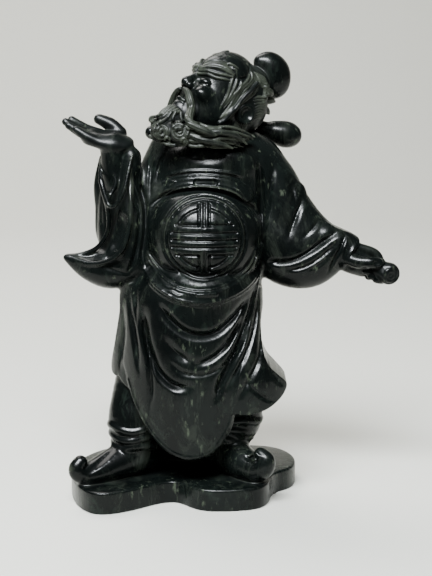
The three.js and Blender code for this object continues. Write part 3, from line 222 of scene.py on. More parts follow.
def outlineSheet(outline):
    # distance to a closed outline in a plane, negative inside
    shape = smoothRows(outline, 5, True)
    sheet = Sheet(shape.min(0) - 2 * margin, shape.max(0) + 2 * margin, 1e9, far)
    u, v = sheet.axes()
    inside = np.zeros(sheet.values.shape, bool)
    best = np.full(sheet.values.shape, 1e9)
    for a, b in zip(np.roll(shape, 1, 0), shape):
        d = b - a
        t = np.clip(((u - a[0]) * d[0] + (v - a[1]) * d[1]) / max(1e-9, d @ d), 0, 1)
        best = np.minimum(best, (u - a[0] - t * d[0]) ** 2 + (v - a[1] - t * d[1]) ** 2)
        if a[1] != b[1]:
            crosses = (a[1] > v) != (b[1] > v)
            inside ^= crosses & (u < a[0] + (v - a[1]) / d[1] * d[0])
    sheet.values = np.where(inside, -np.sqrt(best), np.sqrt(best)).astype(np.float32)
    return sheet


def slab(outline, low, high, rounding):
    plan = outlineSheet(outline)
    corners = np.array(outline, float)

    def distance(x, y, z):
        side = plan.at(x, y) + rounding
        top = z - high + rounding
        rim = np.hypot(np.maximum(side, 0), np.maximum(top, 0)) + np.minimum(np.maximum(side, top), 0)
        return np.maximum(rim - rounding, low - z)

    return Form((*(corners.min(0) - 3), low), (*(corners.max(0) + 3), high), distance)


class View:
    # one way of looking at the block; depth is measured towards the eye
    def __init__(self, right, up, low, high, frameUsed=worldFrame):
        self.origin = frameUsed.origin
        self.across = frameUsed.point(*right) - self.origin
        self.rise = frameUsed.point(*up) - self.origin
        self.toward = np.cross(self.across, self.rise)
        self.low, self.high = low, high

    def along(self, axis, x, y, z):
        return ((x - self.origin[0]) * np.float32(axis[0]) + (y - self.origin[1]) * np.float32(axis[1])
                + (z - self.origin[2]) * np.float32(axis[2]))


def trimmed(form, view, outline, deepest):
    # a form cut to an outline seen in one view, and cut off behind a depth
    inside = outlineSheet(outline)

    def distance(x, y, z):
        depth = deepest - view.along(view.toward, x, y, z)
        rim = inside.at(view.along(view.across, x, y, z), view.along(view.rise, x, y, z))
        return np.maximum(form.distance(x, y, z), np.maximum(rim, depth))

    return Form(form.low, form.high, distance)


class Clay:
    # a grid of distances, and beside it how rough the chisel left each place
    def __init__(self, low, high, step):
        self.low, self.step = np.array(low, float), step
        self.size = np.ceil((np.array(high) - low) / step).astype(int) + 1
        self.field = np.full(self.size, far, np.float32)
        self.rough = np.zeros(self.size, np.float16)
        self.axes = [(self.low[k] + step * np.arange(self.size[k])).astype(np.float32)
                     for k in range(3)]

    def block(self, low, high):
        # the part of the grid round a box, and its coordinates as three arrays
        first = np.floor((low - margin - self.low) / self.step).astype(int)
        last = np.ceil((high + margin - self.low) / self.step).astype(int) + 1
        part = tuple(slice(max(0, a), max(0, min(n, b))) for a, b, n in zip(first, last, self.size))
        x, y, z = (axis[p] for axis, p in zip(self.axes, part))
        return part, (x[:, None, None], y[None, :, None], z[None, None, :])

    def add(self, form, blend=1.0, rough=0.0):
        part, place = self.block(form.low, form.high)
        a, b = self.field[part], form.distance(*place)
        h = np.maximum(blend - np.abs(a - b), 0) / blend
        share = smooth01(0.5 + (a - b) / (2 * max(blend, 1)))
        self.rough[part] = self.rough[part] * (1 - share) + rough * share
        self.field[part] = np.minimum(a, b) - h * h * (blend / 4)

    def carve(self, form, blend=1.0):
        part, place = self.block(form.low, form.high)
        a, b = self.field[part], -form.distance(*place)
        h = np.maximum(blend - np.abs(a - b), 0) / blend
        self.field[part] = np.maximum(a, b) + h * h * (blend / 4)

    def read(self, values, points):
        # values of a grid between its points
        at = np.clip((points - self.low) / self.step, 0, self.size - 1.001)
        first = at.astype(int)
        share = at - first
        total = np.zeros(len(points))
        for corner in np.ndindex(2, 2, 2):
            weight = np.prod(np.where(corner, share, 1 - share), axis=1)
            total += weight * values[tuple((first + corner).T)]
        return total

    def outward(self, points, reach):
        steps = np.eye(3) * reach
        slope = np.stack([
            self.read(self.field, points + s) - self.read(self.field, points - s) for s in steps
        ], axis=1)
        return slope / np.maximum(np.linalg.norm(slope, axis=1, keepdims=True), 1e-9)


def strokeSheet(strokes, edge):
    # heights from strokes of across, up, half width, height. The edge is the share of the half
    # width over which a stroke falls away: 1 is a soft fold, 0.3 a flat band, 0 a cut to a line
    paths = [smoothRows(stroke, 5) for stroke in strokes]
    every = np.concatenate(paths)
    reach = every[:, 2:3] + sheetStep
    sheet = Sheet((every[:, :2] - reach).min(0), (every[:, :2] + reach).max(0), 0, 0)
    uAxis, vAxis = (axis.ravel() for axis in sheet.axes())
    for path in paths:
        own = np.zeros(sheet.values.shape, np.float32)
        for a, b in zip(path[:-1], path[1:]):
            wide = max(a[2], b[2])
            i = slice(*np.searchsorted(uAxis, (min(a[0], b[0]) - wide, max(a[0], b[0]) + wide)))
            j = slice(*np.searchsorted(vAxis, (min(a[1], b[1]) - wide, max(a[1], b[1]) + wide)))
            u, v = uAxis[i, None], vAxis[None, j]
            d = b - a
            long = max(1e-9, d[0] ** 2 + d[1] ** 2)
            t = np.clip(((u - a[0]) * d[0] + (v - a[1]) * d[1]) / long, 0, 1)
            away = np.hypot(u - a[0] - t * d[0], v - a[1] - t * d[1])
            share = away / np.maximum(0.1, a[2] + t * d[2])
            if edge:
                fall = 1 - smooth01((share - 1 + edge) / edge)
            else:
                fall = np.clip(1 - share, 0, 1) ** cutSharpness
            height = (a[3] + t * d[3]) * fall
            own[i, j] = np.where(np.abs(height) > np.abs(own[i, j]), height, own[i, j])
        sheet.values += own
    return sheet


def drawOn(clay, view, strokes, edge=1.0):
    # relief on the surfaces that face the eye, fading out where they turn away from it
    sheet = strokeSheet(strokes, edge)
    corners = [
        view.origin + u * view.across + v * view.rise + w * view.toward
        for u in (sheet.low[0], sheet.low[0] + sheet.size[0] * sheetStep)
        for v in (sheet.low[1], sheet.low[1] + sheet.size[1] * sheetStep)
        for w in (view.low, view.high)
    ]
    part, (x, y, z) = clay.block(np.min(corners, 0) + margin, np.max(corners, 0) - margin)
    block = clay.field[part]
    depth = view.along(view.toward, x, y, z)
    i, j, k = np.nonzero((np.abs(block) < reliefReach) & (depth > view.low) & (depth < view.high))
    px, py, pz = x.ravel()[i], y.ravel()[j], z.ravel()[k]
    height = sheet.at(view.along(view.across, px, py, pz), view.along(view.rise, px, py, pz))
    marked = height != 0
    spots = [n[marked] + p.start for n, p in zip((i, j, k), part)]
    slope = []
    for axis in range(3):
        ahead, behind = [n.copy() for n in spots], [n.copy() for n in spots]
        ahead[axis] = np.minimum(ahead[axis] + 1, clay.size[axis] - 1)
        behind[axis] = np.maximum(behind[axis] - 1, 0)
        slope.append(clay.field[tuple(ahead)] - clay.field[tuple(behind)])
    slope = np.array(slope)
    facing = (view.toward @ slope) / np.maximum(np.linalg.norm(slope, axis=0), 1e-6)
    clay.field[tuple(spots)] -= height[marked] * smooth01(reliefGain * facing - reliefStart)


front = View((1, 0, 0), (0, 0, 1), 6, 62)
back = View((-1, 0, 0), (0, 0, 1), 6, 62)


def arc(centre, radius, fromAngle, toAngle, wide, tall):
    steps = max(4, round(abs(toAngle - fromAngle) / 15))
    angles = np.radians(np.linspace(fromAngle, toAngle, steps + 1))
    return [[centre[0] + radius * math.cos(a), centre[1] + radius * math.sin(a), wide, tall]
            for a in angles]


def groove(rows, wide, deep):
    # a stroke that starts and ends at nothing
    last = len(rows) - 1
    return [[x, z, wide, 0 if i in (0, last) else -deep] for i, (x, z) in enumerate(rows)]


def ridge(rows, wide, tall):
    return groove(rows, wide, -tall)


def beside(rows, offset):
    # a path moved sideways, to its left as it is drawn
    points = np.array(rows, float)
    along = np.gradient(points, axis=0)
    along /= np.linalg.norm(along, axis=1, keepdims=True)
    return points + offset * np.column_stack([-along[:, 1], along[:, 0]])


# The plinth, the legs and the boots

plinthShape = {
    "thickness": 12.5,
    "edgeRound": 1.3,
    "outline": [
        (-5, -25.5), (0, -29), (4.5, -34.5), (11, -39), (20, -40.3), (33, -39), (42, -35), (47, -27),
        (49.5, -15), (53, -8), (60, -1), (64, 9), (64, 22), (59.5, 34), (51, 42), (38, 45), (22, 45),
        (8, 39), (-6, 40), (-20, 44.5), (-36, 44), (-49, 37), (-58, 25), (-64, 10), (-65, -4),
        (-62.5, -20), (-57.5, -34), (-50, -43.5), (-41, -45), (-30, -40), (-17, -30), (-11, -26.3),
    ],
}


def plinth(clay):
    clay.add(slab(plinthShape["outline"], 0, plinthShape["thickness"], plinthShape["edgeRound"]))


bootShape = {
    "left": (
        [(-18, 0, 19.5, 8), (-27, -9, 23, 10.5), (-37, -16, 20.8, 9.8), (-46, -22.5, 18, 8.6),
         (-53, -27, 16.8, 7)],
        [(-52, -26.5, 16.8, 6.6), (-57.4, -30, 18.6, 5.4), (-59, -31, 22, 4.6), (-57, -30, 25.2, 3.9)],
    ),
    "right": (
        [(18, 4, 19.5, 8), (25, -4, 23, 10.5), (31, -13, 21, 10), (36, -19.5, 19.6, 9), (40, -24, 19, 7.6)],
        [(39, -23.5, 19, 7.6), (44, -27.5, 21.4, 6.4), (45.6, -28.5, 25.6, 5.2), (43, -27, 28.6, 4.2)],
    ),
}


def ring(centre, radius, thick, sag=1.1):
    # a level closed loop with a little sag, for a gathered fold round a leg
    x, y, z = centre
    angles = np.linspace(0, 2 * math.pi, 13)
    return [[x + radius * math.cos(a), y + radius * math.sin(a), z + sag * math.sin(3 * a + z), thick]
            for a in angles]


def legs(clay):
    clay.add(limb([(-18, 2, 74, 19), (-25, -3, 54, 16.5), (-28.5, -8, 42, 14.5), (-28, -9, 31, 12)]), 3)
    clay.add(limb([(24, 4, 72, 17), (29, 0, 54, 14.5), (30.5, -2, 43, 13.5), (26.5, -3, 33, 11)]), 3)
    gathers = [
        (-28.5, -8.5, 41, 14), (-28.3, -8.5, 35.5, 13.5), (-28, -9, 30.5, 12.5),
        (30.5, -2.5, 43.5, 13.2), (28.5, -3, 38, 12), (26, -3.5, 32.5, 10.2),
    ]
    for x, y, z, radius in gathers:
        clay.add(limb(ring((x, y, z), radius - 0.9, 2.3)), 0.8)
    for path, toe in (bootShape["left"], bootShape["right"]):
        clay.add(limb(path), 2)
        clay.add(limb(toe), 0.8)
        tip = toe[-1]
        clay.carve(blob((tip[0] - 3.2, tip[1] + 0.5, tip[2] - 3), (2.6, 4, 2.2)), 1.2)
    drawOn(clay, front, [
        groove([(-38, 31), (-43, 26.5), (-49, 22.5), (-53, 20)], 2.2, 1),
        ridge([(37.5, 34), (40.8, 30), (43.6, 28.6)], 1.3, 1.1),
        groove([(33, 27), (36.6, 25.8), (40, 27.2)], 1.4, 1.1),
    ])


# The body and the coat

bodyShape = {
    "bellyCentre": (12, -8, 149),
    "bellyRadii": (33, 31, 31),
    "roundelCentre": (11.7, 150.7),
    "roundelRadius": 22.5,
}


def torso(clay):
    clay.add(column([
        (14, 2, 22, 27, 13), (20, 2, 21, 29, 13), (30, 2, 20, 31, 13), (46, 2, 15, 36, 17),
        (60, 2, 10, 36, 22), (80, 3, 8, 37, 24), (100, 4, 6, 38, 26), (120, 6, 6, 38, 28),
        (140, 11, 5, 33, 28), (160, 13, 5, 33, 27), (178, 16, 5, 34, 25), (190, 18, 6, 36, 21),
        (198, 20, 8, 30, 17), (206, 22, 9, 16, 12),
    ]), 3)
    clay.add(blob(bodyShape["bellyCentre"], bodyShape["bellyRadii"]), 4)
    clay.add(blob((16, -6, 189), (28, 15, 13)), 5)
    clay.carve(blob((13, -28, 194), (16, 9, 7)), 2.5)


def layer(shape, outline, deepest):
    return trimmed(column(shape), front, outline, deepest)


def skirts(clay):
    # layer over layer, each cut to its hem as seen from the front
    clay.add(layer(
        [(50, -12, 2, 31, 24), (90, -11, 2, 30, 25), (124, -10, 2, 28, 25)],
        [
            (-8, 122), (-33, 121), (-36, 105), (-39, 88), (-41.5, 74), (-39.5, 69.5), (-34, 71),
            (-25, 76), (-12, 72), (-4, 90),
        ],
        -26,
    ), 1)
    clay.add(layer(
        [(50, -10, -3, 29, 23), (70, -10, -3, 29, 23), (92, -10, -3, 28, 23)],
        [(-36, 84), (-29.5, 86), (-22, 78), (-16, 66), (-18.5, 57), (-24, 60), (-32.5, 66), (-36.5, 71)],
        -4,
    ), 1)
    clay.add(layer(
        [(45, 24, -4, 35, 25), (70, 25, -4, 36, 27), (90, 22, -2, 25, 28), (122, 18, 0, 26, 27)],
        [
            (20, 121), (43.6, 119), (43, 101), (44, 87), (47, 78.5), (52, 73), (57.5, 67),
            (56, 61.5), (51, 56.5), (44, 53), (36, 51.5), (28, 52.5), (16, 56), (12, 80),
        ],
        -22,
    ), 1)
    clay.add(layer(
        [
            (22, 4, 0, 42, 31), (50, 3, -1, 40, 34), (80, 3, -2, 40, 35.5), (105, 4, -3, 40, 35.5),
            (121, 7, -4, 38, 34.5), (131, 10, -2, 33, 30.5), (141, 11, 0, 27, 23),
        ],
        [
            (9, 150), (-30, 146), (-36, 122), (-36, 105), (-35, 88), (-31.5, 72), (-27, 57),
            (-19, 42), (-11, 32.5), (-2, 28), (6, 27), (14, 29), (21, 35), (27, 45), (29.5, 58),
            (33, 75), (36, 92), (39, 110), (42, 146),
        ],
        4,
    ), 1.2)


upperBelt = [
    (-21, 163.5), (-16, 169.5), (-10.5, 175), (-4, 178.3), (2.5, 179.8), (9.5, 180.3), (17.5, 180),
    (25, 178.5), (30.5, 176), (35, 172),
]
lowerBelt = [
    (-24, 139), (-19, 132.7), (-13, 127), (-5, 122.6), (2, 120.6), (9.5, 119.7), (19, 120.5),
    (29, 123.8), (36.5, 128.6), (41, 134.5), (43.5, 141.5),
]
underBelt = [
    (-21, 160), (-17.2, 166.6), (-11.8, 170.9), (-5.4, 173.5), (1.5, 175.1), (9.5, 175.7),
    (17.5, 174.9), (25.4, 172.5), (32.4, 168.7), (38.8, 163.4), (42, 156),
]

# lines along the belts: belt, how far to the left of its middle, half width, height
beltLines = [
    (upperBelt, 2.5, 0.8, -0.8), (upperBelt, -2.2, 0.8, -0.8), (upperBelt, 3.6, 0.9, 0.5),
    (upperBelt, -3.4, 0.9, 0.6), (lowerBelt, 4.6, 0.8, 0.7), (lowerBelt, 3.3, 0.7, -1),
    (lowerBelt, 2.2, 0.8, 0.6), (lowerBelt, -2.6, 0.8, 0.5), (lowerBelt, -3.7, 0.7, -1),
    (lowerBelt, -4.8, 0.8, 0.6),
]


def band(rows, wide, tall):
    last = len(rows) - 1
    return [[x, z, wide, tall / 2 if i in (0, last) else tall] for i, (x, z) in enumerate(rows)]


def beltsAndRoundel(clay):
    drawOn(clay, front, [groove(underBelt, 2.4, 1.9)])
    drawOn(clay, front, [band(upperBelt, 4.1, 2), band(lowerBelt, 5.4, 2.2)], 0.35)
    drawOn(clay, front, [band(beside(belt, away), wide, tall) for belt, away, wide, tall in beltLines])
    drawOn(clay, front, [
        [(7.6, 179.5, 2, -1), (17.2, 179.3, 2, -1)],
        [(8.2, 121.4, 1.2, 0.9), (18.2, 121.6, 1.2, 0.9)],
    ], 0.3)
    drawOn(clay, front, [
        ridge([(-13, 129.6), (-9.6, 126), (-6, 124.6), (-2, 125.4), (2.5, 124.6)], 0.8, 0.9),
        ridge([(-9, 122.6), (-5.5, 122.4), (-2.2, 120.9), (1, 121.6)], 0.8, 0.9),
        ridge([(-11, 177.6), (-8, 179.4), (-4.4, 179.9), (-6.4, 177.6), (-9.6, 176.6)], 0.7, 0.8),
        ridge([(27, 177.4), (30.6, 175.2), (33, 172.6)], 0.7, 0.8),
        groove([(-18.5, 160), (-15, 165.5), (-8, 170.4)], 1, 0.9),
        groove([(-18, 154), (-15, 160.5), (-10, 167)], 1, 0.8),
    ])
    centre, radius = bodyShape["roundelCentre"], bodyShape["roundelRadius"]
    line = {"wide": 1.0, "deep": 1.3}

    def cut(rows):
        return [[centre[0] + x * radius, centre[1] + z * radius, line["wide"], -line["deep"]]
                for x, z in rows]

    fret = [arc(centre, radius * share, 0, 360, line["wide"], -line["deep"]) for share in (1, 0.9)]
    fret += [cut([(-0.76, z), (0.76, z)]) for z in (-0.2, -0.03, 0.14)]
    for side in (-1, 1):
        for up in (-1, 1):
            middle = -0.03 + up * 0.36
            fret.append(cut([(0.12 * side, middle), (0.66 * side, middle)]))
            fret.append(cut([(0.12 * side, middle), (0.12 * side, up * 0.8)]))
            a, b = sorted((math.degrees(math.atan2(up * 0.7, side * 0.16)),
                           math.degrees(math.atan2(middle + up * 0.1, side * 0.62))))
            fret.append(arc(centre, radius * 0.7, a, b, line["wide"], -line["deep"]))
        fret.append(cut([(0, 0.3 * side), (0, 0.82 * side)]))
    drawOn(clay, front, fret)


# The arms

sleeveRims = [
    ([(-27.5, -13, 194), (-29, -15, 187), (-30.3, -17, 181), (-31.5, -18.5, 175.9), (-34.2, -19.5, 169.8),
      (-37.8, -19, 166), (-40.6, -17, 167.2), (-42.9, -15, 172.8), (-44.3, -13, 177.9),
      (-45.5, -8, 183.8), (-45.4, -1, 189.4)], 1.15),
    ([(-45, -2, 189), (-42, -8, 186.4), (-38.3, -10.5, 183), (-36.7, -12, 178.6), (-38.2, -13, 174.3),
      (-40.8, -15, 169.4)], 1.2),
    ([(-44.9, -12, 179.6), (-42.8, -14, 172.6), (-41.3, -15, 165.4), (-40.6, -15, 157.2),
      (-41.8, -14.5, 150.7), (-46.8, -14, 143.4), (-53.8, -13, 139.6), (-62.6, -12, 137.6)], 1.3),
    ([(-27.4, -12.5, 185), (-28, -18, 172.5), (-28.4, -20.5, 160.9), (-29.9, -21.5, 151.2),
      (-33.5, -22, 142.3), (-40.8, -21, 136.7), (-49.9, -18.5, 134.8), (-57.8, -15, 136),
      (-63.4, -12, 137.4)], 1.3),
]


def raisedSleeve(clay):
    # the raised forearm stands out of a wide sleeve that has slid down and opens like a trough
    clay.add(limb([(-4, 6, 190, 17), (-14, 3, 172, 15), (-20, -1, 152, 14), (-24, -4, 138, 13)]), 4)
    clay.add(limb([
        (-28, -6, 133.5, 12), (-40, -8, 130.5, 11.5), (-50, -10, 131.5, 8.5), (-58, -11, 134, 5),
        (-64.5, -12, 137, 1.8),
    ]), 3)
    clay.add(limb([(-36, 0, 188, 8), (-37, 0, 170, 10), (-38, -1, 152, 10), (-37, -3, 140, 10)]), 3)
    clay.add(limb([
        (-43.5, 3, 190, 3.5), (-46, 4, 176, 4.2), (-45.5, 4, 162, 4.2), (-45, 3, 150, 4.6),
        (-42.5, 1, 143, 4.5),
    ]), 1.2)
    clay.add(limb([
        (-28.5, -6, 192, 5.5), (-29.5, -9, 172, 7), (-29, -11, 155, 8.5), (-32, -11, 140, 9.5),
    ]), 3)
    clay.carve(limb([
        (-35.4, -21, 163, 4), (-35.2, -21, 156, 6.4), (-38.5, -20.5, 148, 6.8), (-46, -19, 142.8, 5.2),
        (-57, -15.5, 140, 2.6),
    ]), 1)
    clay.carve(limb([(-36.5, -18, 188, 4), (-35.5, -20.5, 179, 4.4), (-37.5, -20, 171, 2.6)]), 1)
    for path, thick in sleeveRims:
        last = len(path) - 1
        rows = [(*point, thick if 0 < i < last else thick * 0.6) for i, point in enumerate(path)]
        clay.add(limb(rows), 2.2)
    clay.add(limb([(-37.5, -5, 178, 6.6), (-38.2, -5, 190, 7), (-38.5, -5, 198, 7.3)]), 1)


handShape = {"palmHeight": 203, "slope": 0.36}


def lifted(x, y, z, r):
    # the open hand lies on a plane that rises towards the back
    return (x, y, z + handShape["slope"] * (y + 5), r)


def openHand(clay):
    palm = handShape["palmHeight"]
    clay.add(limb(
        [lifted(-34.5, -5, palm - 3.5, 7.5), lifted(-41, -5, palm - 2, 8.8), lifted(-48, -5, palm - 0.5, 8)],
        flat=0.5, across=(0, -handShape["slope"], 1),
    ), 2.5, rough=0.8)
    for y, reach, tip in ((-10, 58, 5.6), (-6.4, 62.5, 6.6), (-2.8, 64.5, 7.2), (0.9, 61.5, 7)):
        clay.add(limb([
            lifted(-46, y, palm - 0.8, 2.8), lifted(-(reach + 46) / 2, y, palm + 1.8, 2.8),
            lifted(-reach, y * 0.9 - 0.4, palm + tip, 2.1),
        ]), 0.6, rough=0.8)
    clay.add(limb([(-35, 2, 204.5, 3.8), (-40.5, 4, 209, 3.9), (-46.8, 4.5, 212, 2.9)]), 1.5, rough=0.8)
    clay.carve(blob((-43, -5, palm + 4.5), (6, 4.5, 2.6)), 2)


def loweredSleeve(clay):
    clay.add(limb([
        (38, 8, 187, 16), (47, 6, 177, 16), (56, 3, 163, 15), (68, 0, 151, 12.5), (80, -3, 141.5, 11),
    ]), 4)
    clay.add(limb([(50, 1, 150, 20), (58, 0, 142, 22), (67, -2, 138, 20), (76, -4, 137, 14)], flat=0.7), 4)
    clay.add(limb([(60, -1, 170, 4.5), (62.5, -1, 173, 4.8), (64.5, -1, 172, 3.5)]), 2)
    cuff = limb([(78, -3.5, 146, 11.2), (86, -4.6, 142.2, 10.6), (97, -6.5, 135.6, 9.8)], flat=0.95)
    clay.add(trimmed(cuff, front, [
        (70, 160), (84, 153.5), (97.4, 147), (92, 138.5), (87, 129.2), (78, 127), (66, 138),
    ], -30), 0.6)
    drawOn(clay, front, [
        groove([(90, 152), (86.6, 143), (82.6, 134.9), (79, 127)], 1.5, 1.8),
    ], 0)
    drawOn(clay, front, [
        ridge([(91.4, 151), (88, 142.4), (84.2, 134.6), (80.6, 127)], 1, 0.6),
        ridge([(96.6, 147), (93.6, 142.6), (90, 136.6), (86.6, 130)], 1.1, 0.7),
    ])


gripShape = {
    "path": [(102, -6, 131.6, 5), (108.5, -11, 129.8, 5.4), (113.2, -13.6, 128.4, 6.2)],
    "breakMiddle": (113.9, -16.4, 128.2),
    "breakRadius": 5.6,
    "breakRings": (0.2, 0.5, 0.8),
}


def fist(clay):
    # closed round a short broken grip, its thumb laid along the near side
    clay.add(limb([(86, -4.5, 140, 8.6), (93, -5.5, 136.6, 9.2), (100, -5.5, 133.6, 8.4)], flat=0.9), 1.2)
    clay.add(limb(gripShape["path"]), 0.6, rough=0.6)
    clay.add(blob((109.6, -12.4, 131.6), (2.6, 4.6, 5.2)), 0.5)
    clay.carve(blob((128.4, -42, 125.6), (28, 28, 28)), 0.5)
    x, y, z = gripShape["breakMiddle"]
    for share in gripShape["breakRings"]:
        turns = []
        for a in np.linspace(0, 2 * math.pi, 11):
            r = gripShape["breakRadius"] * share * (1 + 0.14 * math.sin(3 * a + 9 * share))
            turns.append((x + r * math.cos(a), y, z + r * math.sin(a), 0.45))
        clay.carve(limb(laidInFront(clay, turns)), 0.3)
    for i in range(4):
        y = -9.6 + 5 * i
        curl = [(94, 142.6 - i), (101, 141 - i), (106.2, 138.6 - i), (108.6, 134.2), (107.6, 129.4),
                (103, 126.6)]
        clay.add(limb([(x, y, z, 2.7) for x, z in curl]), 0.5, rough=0.4)
    for x, z in ((101.2, 129.6), (104, 126.8), (107, 124.9)):
        clay.add(limb([
            (x + 4.6, -8, z - 0.6, 2.4), (x + 2.4, -12.4, z - 0.4, 2.3), (x - 0.6, -13.4, z, 2),
        ]), 0.4)
    clay.add(limb([
        (90, -11, 136.4, 4), (96.6, -15, 135, 3.8), (102.4, -16.6, 134.9, 3.5), (107, -16.4, 134.8, 2.9),
    ]), 0.6)
    clay.carve(blob((106.6, -19.4, 135.2), (2.6, 1.1, 1.9)), 0.3)
    clay.carve(limb([(94.6, -15, 140.4, 0.8), (100, -15.5, 139.4, 1.1), (106, -15, 138.2, 0.8)]), 0.6)
    drawOn(clay, front, [
        groove([(96, 131.8), (99.6, 132.6), (104, 131.4)], 0.8, 0.8),
        groove([(89, 134), (92.6, 131.4), (97, 131)], 1.2, 0.9),
    ])


def shoulderRoll(clay):
    # a cloth rolled across the back of the shoulders, with a full end at the right
    clay.add(limb([
        (-18, 14, 204, 3.9), (-8, 18, 206, 5), (8, 23, 208, 6.2), (26, 25, 208, 6), (40, 23, 206.5, 4.6),
        (47, 22, 205, 4.6), (52, 22.5, 203.5, 6.6), (57.5, 23.5, 202.3, 7.6), (60, 24, 201.8, 6.8),
    ]), 1.5)


# The head

headShape = {"centre": (19, 2, 221), "turn": 60, "tilt": 39}
head = frameOf(headShape["centre"], headShape["turn"], headShape["tilt"])
nearSide = View((-1, 0, 0), (0, 0, 1), 3, 30, head)
farSide = View((1, 0, 0), (0, 0, 1), 3, 30, head)


def onBothSides(clay, strokes, edge=1.0):
    # strokes of forward, up, half width, height on the two sides of the head
    for view, sign in ((nearSide, -1), (farSide, 1)):
        drawOn(clay, view, [[[sign * f, u, w, h] for f, u, w, h in stroke] for stroke in strokes], edge)


def skull(clay):
    clay.add(blob((0, 0, 1), (20, 16.5, 22), head), 2)
    clay.add(blob((5, 0, -11), (14, 13.5, 13), head), 4)
    clay.add(limb([(22, 8, 200, 13), (20, 5, 212, 12)]), 4)


# how many strands wind round a lock, and as shares of its radius: the core, how far out the
# strands lie, and the radii of all the strands added up
lockShape = {"strands": 9, "core": 0.72, "spread": 0.76, "thin": 2.7}


def addLock(clay, path, twist=0.0):
    # a core with finer strands that wind round it
    clay.add(limb([(*row[:3], row[3] * lockShape["core"]) for row in path]), 0.6, rough=1)
    rows = smoothRows(path, 3)
    along = np.gradient(rows[:, :3], axis=0)
    first = np.cross(along, (0, 0, 1))
    first /= np.linalg.norm(first, axis=1, keepdims=True)
    second = np.cross(first, along)
    second /= np.linalg.norm(second, axis=1, keepdims=True)
    count = lockShape["strands"]
    spread, thin = lockShape["spread"], lockShape["thin"] / count
    for k in range(count):
        a = math.radians(360 / count * k) + twist * np.linspace(0, 1, len(rows))
        offset = np.cos(a)[:, None] * first + np.sin(a)[:, None] * second
        strand = np.column_stack([rows[:, :3] + rows[:, 3:] * spread * offset, rows[:, 3] * thin])
        clay.add(limb(strand, perSpan=2), 0.12, rough=1)


def addStrand(clay, rows, blend=0.2):
    # one strand along rows that already lie on the clay
    clay.add(limb(rows, perSpan=1), blend, rough=1)


def surfaceAlong(clay, start, ray, reach, entering):
    # how far along a ray from a start the clay's skin lies, or None
    steps = np.arange(0, reach, clay.step)
    depths = clay.read(clay.field, start + ray * steps[:, None])
    crossed = np.nonzero((depths[:-1] > 0) & (depths[1:] <= 0) if entering
                         else (depths[:-1] <= 0) & (depths[1:] > 0))[0]
    if not len(crossed):
        return None
    k = crossed[0]
    return steps[k] + clay.step * depths[k] / (depths[k] - depths[k + 1])


def laidRound(clay, centre, path, raised=0.0):
    # a path moved outwards or inwards from a centre until it lies on the clay
    rows = smoothRows(path, 4)
    for row in rows:
        ray = row[:3] - centre
        ray /= np.linalg.norm(ray)
        start = centre + ray * layStart
        depth = surfaceAlong(clay, start, ray, layReach, False)
        if depth is not None:
            row[:3] = start + ray * (depth + raised)
    return rows


def laidInFront(clay, path, raised=0.0):
    # a path moved back or forward until it lies on the clay; past its rim it keeps its own depth
    rows = smoothRows(path, 4)
    for row in rows:
        start = np.array((row[0], row[1] - laySlack, row[2]))
        depth = surfaceAlong(clay, start, np.array((0, 1, 0)), 2 * laySlack, True)
        if depth is not None:
            row[1] = start[1] + depth - raised
    return rows


def fanned(first, last, count, wave=0.0):
    # paths spread evenly between two with as many points; the last but one column waves
    first, last = np.array(first, float), np.array(last, float)
    out = [first + (last - first) * k / (count - 1) for k in range(count)]
    for k, path in enumerate(out):
        path[:, -2] += wave * np.sin(2.1 * np.arange(len(path)) + 1.3 * k)
    return out


def curled(path, radius, turns, side=1):
    # a strand of x, y, z, radius that ends in a flat spiral seen from the front
    x, y, z, thick = path[-1]
    dx, dz = x - path[-2][0], z - path[-2][2]
    start = math.atan2(dz, dx) - side * math.pi / 2
    middle = (x - radius * math.cos(start), z - radius * math.sin(start))
    out = list(path)
    count = round(turns * 9)
    for k in range(1, count + 1):
        a, r = start + side * 2 * math.pi * turns * k / count, radius * (1 - 0.8 * k / count)
        out.append((middle[0] + r * math.cos(a), y, middle[1] + r * math.sin(a), thick))
    return out


browShape = {
    "core": [(19.6, 2.6, 6.8, 1.8), (18.2, 7, 9, 2.6), (14.4, 11.2, 10.8, 2.6), (9.4, 14, 12, 1.6)],
    "low": [(21, 2, 4.2, 0.7), (19, 6.6, 5, 0.95), (14.6, 11.6, 6.4, 0.9), (8.6, 15, 8.4, 0.4)],
    "high": [(20, 2.4, 9.6, 0.8), (18, 6, 13.6, 1), (13.6, 10.6, 16, 0.9), (8, 13.6, 16, 0.4)],
    "strands": 7,
    "wave": 0.55,
}


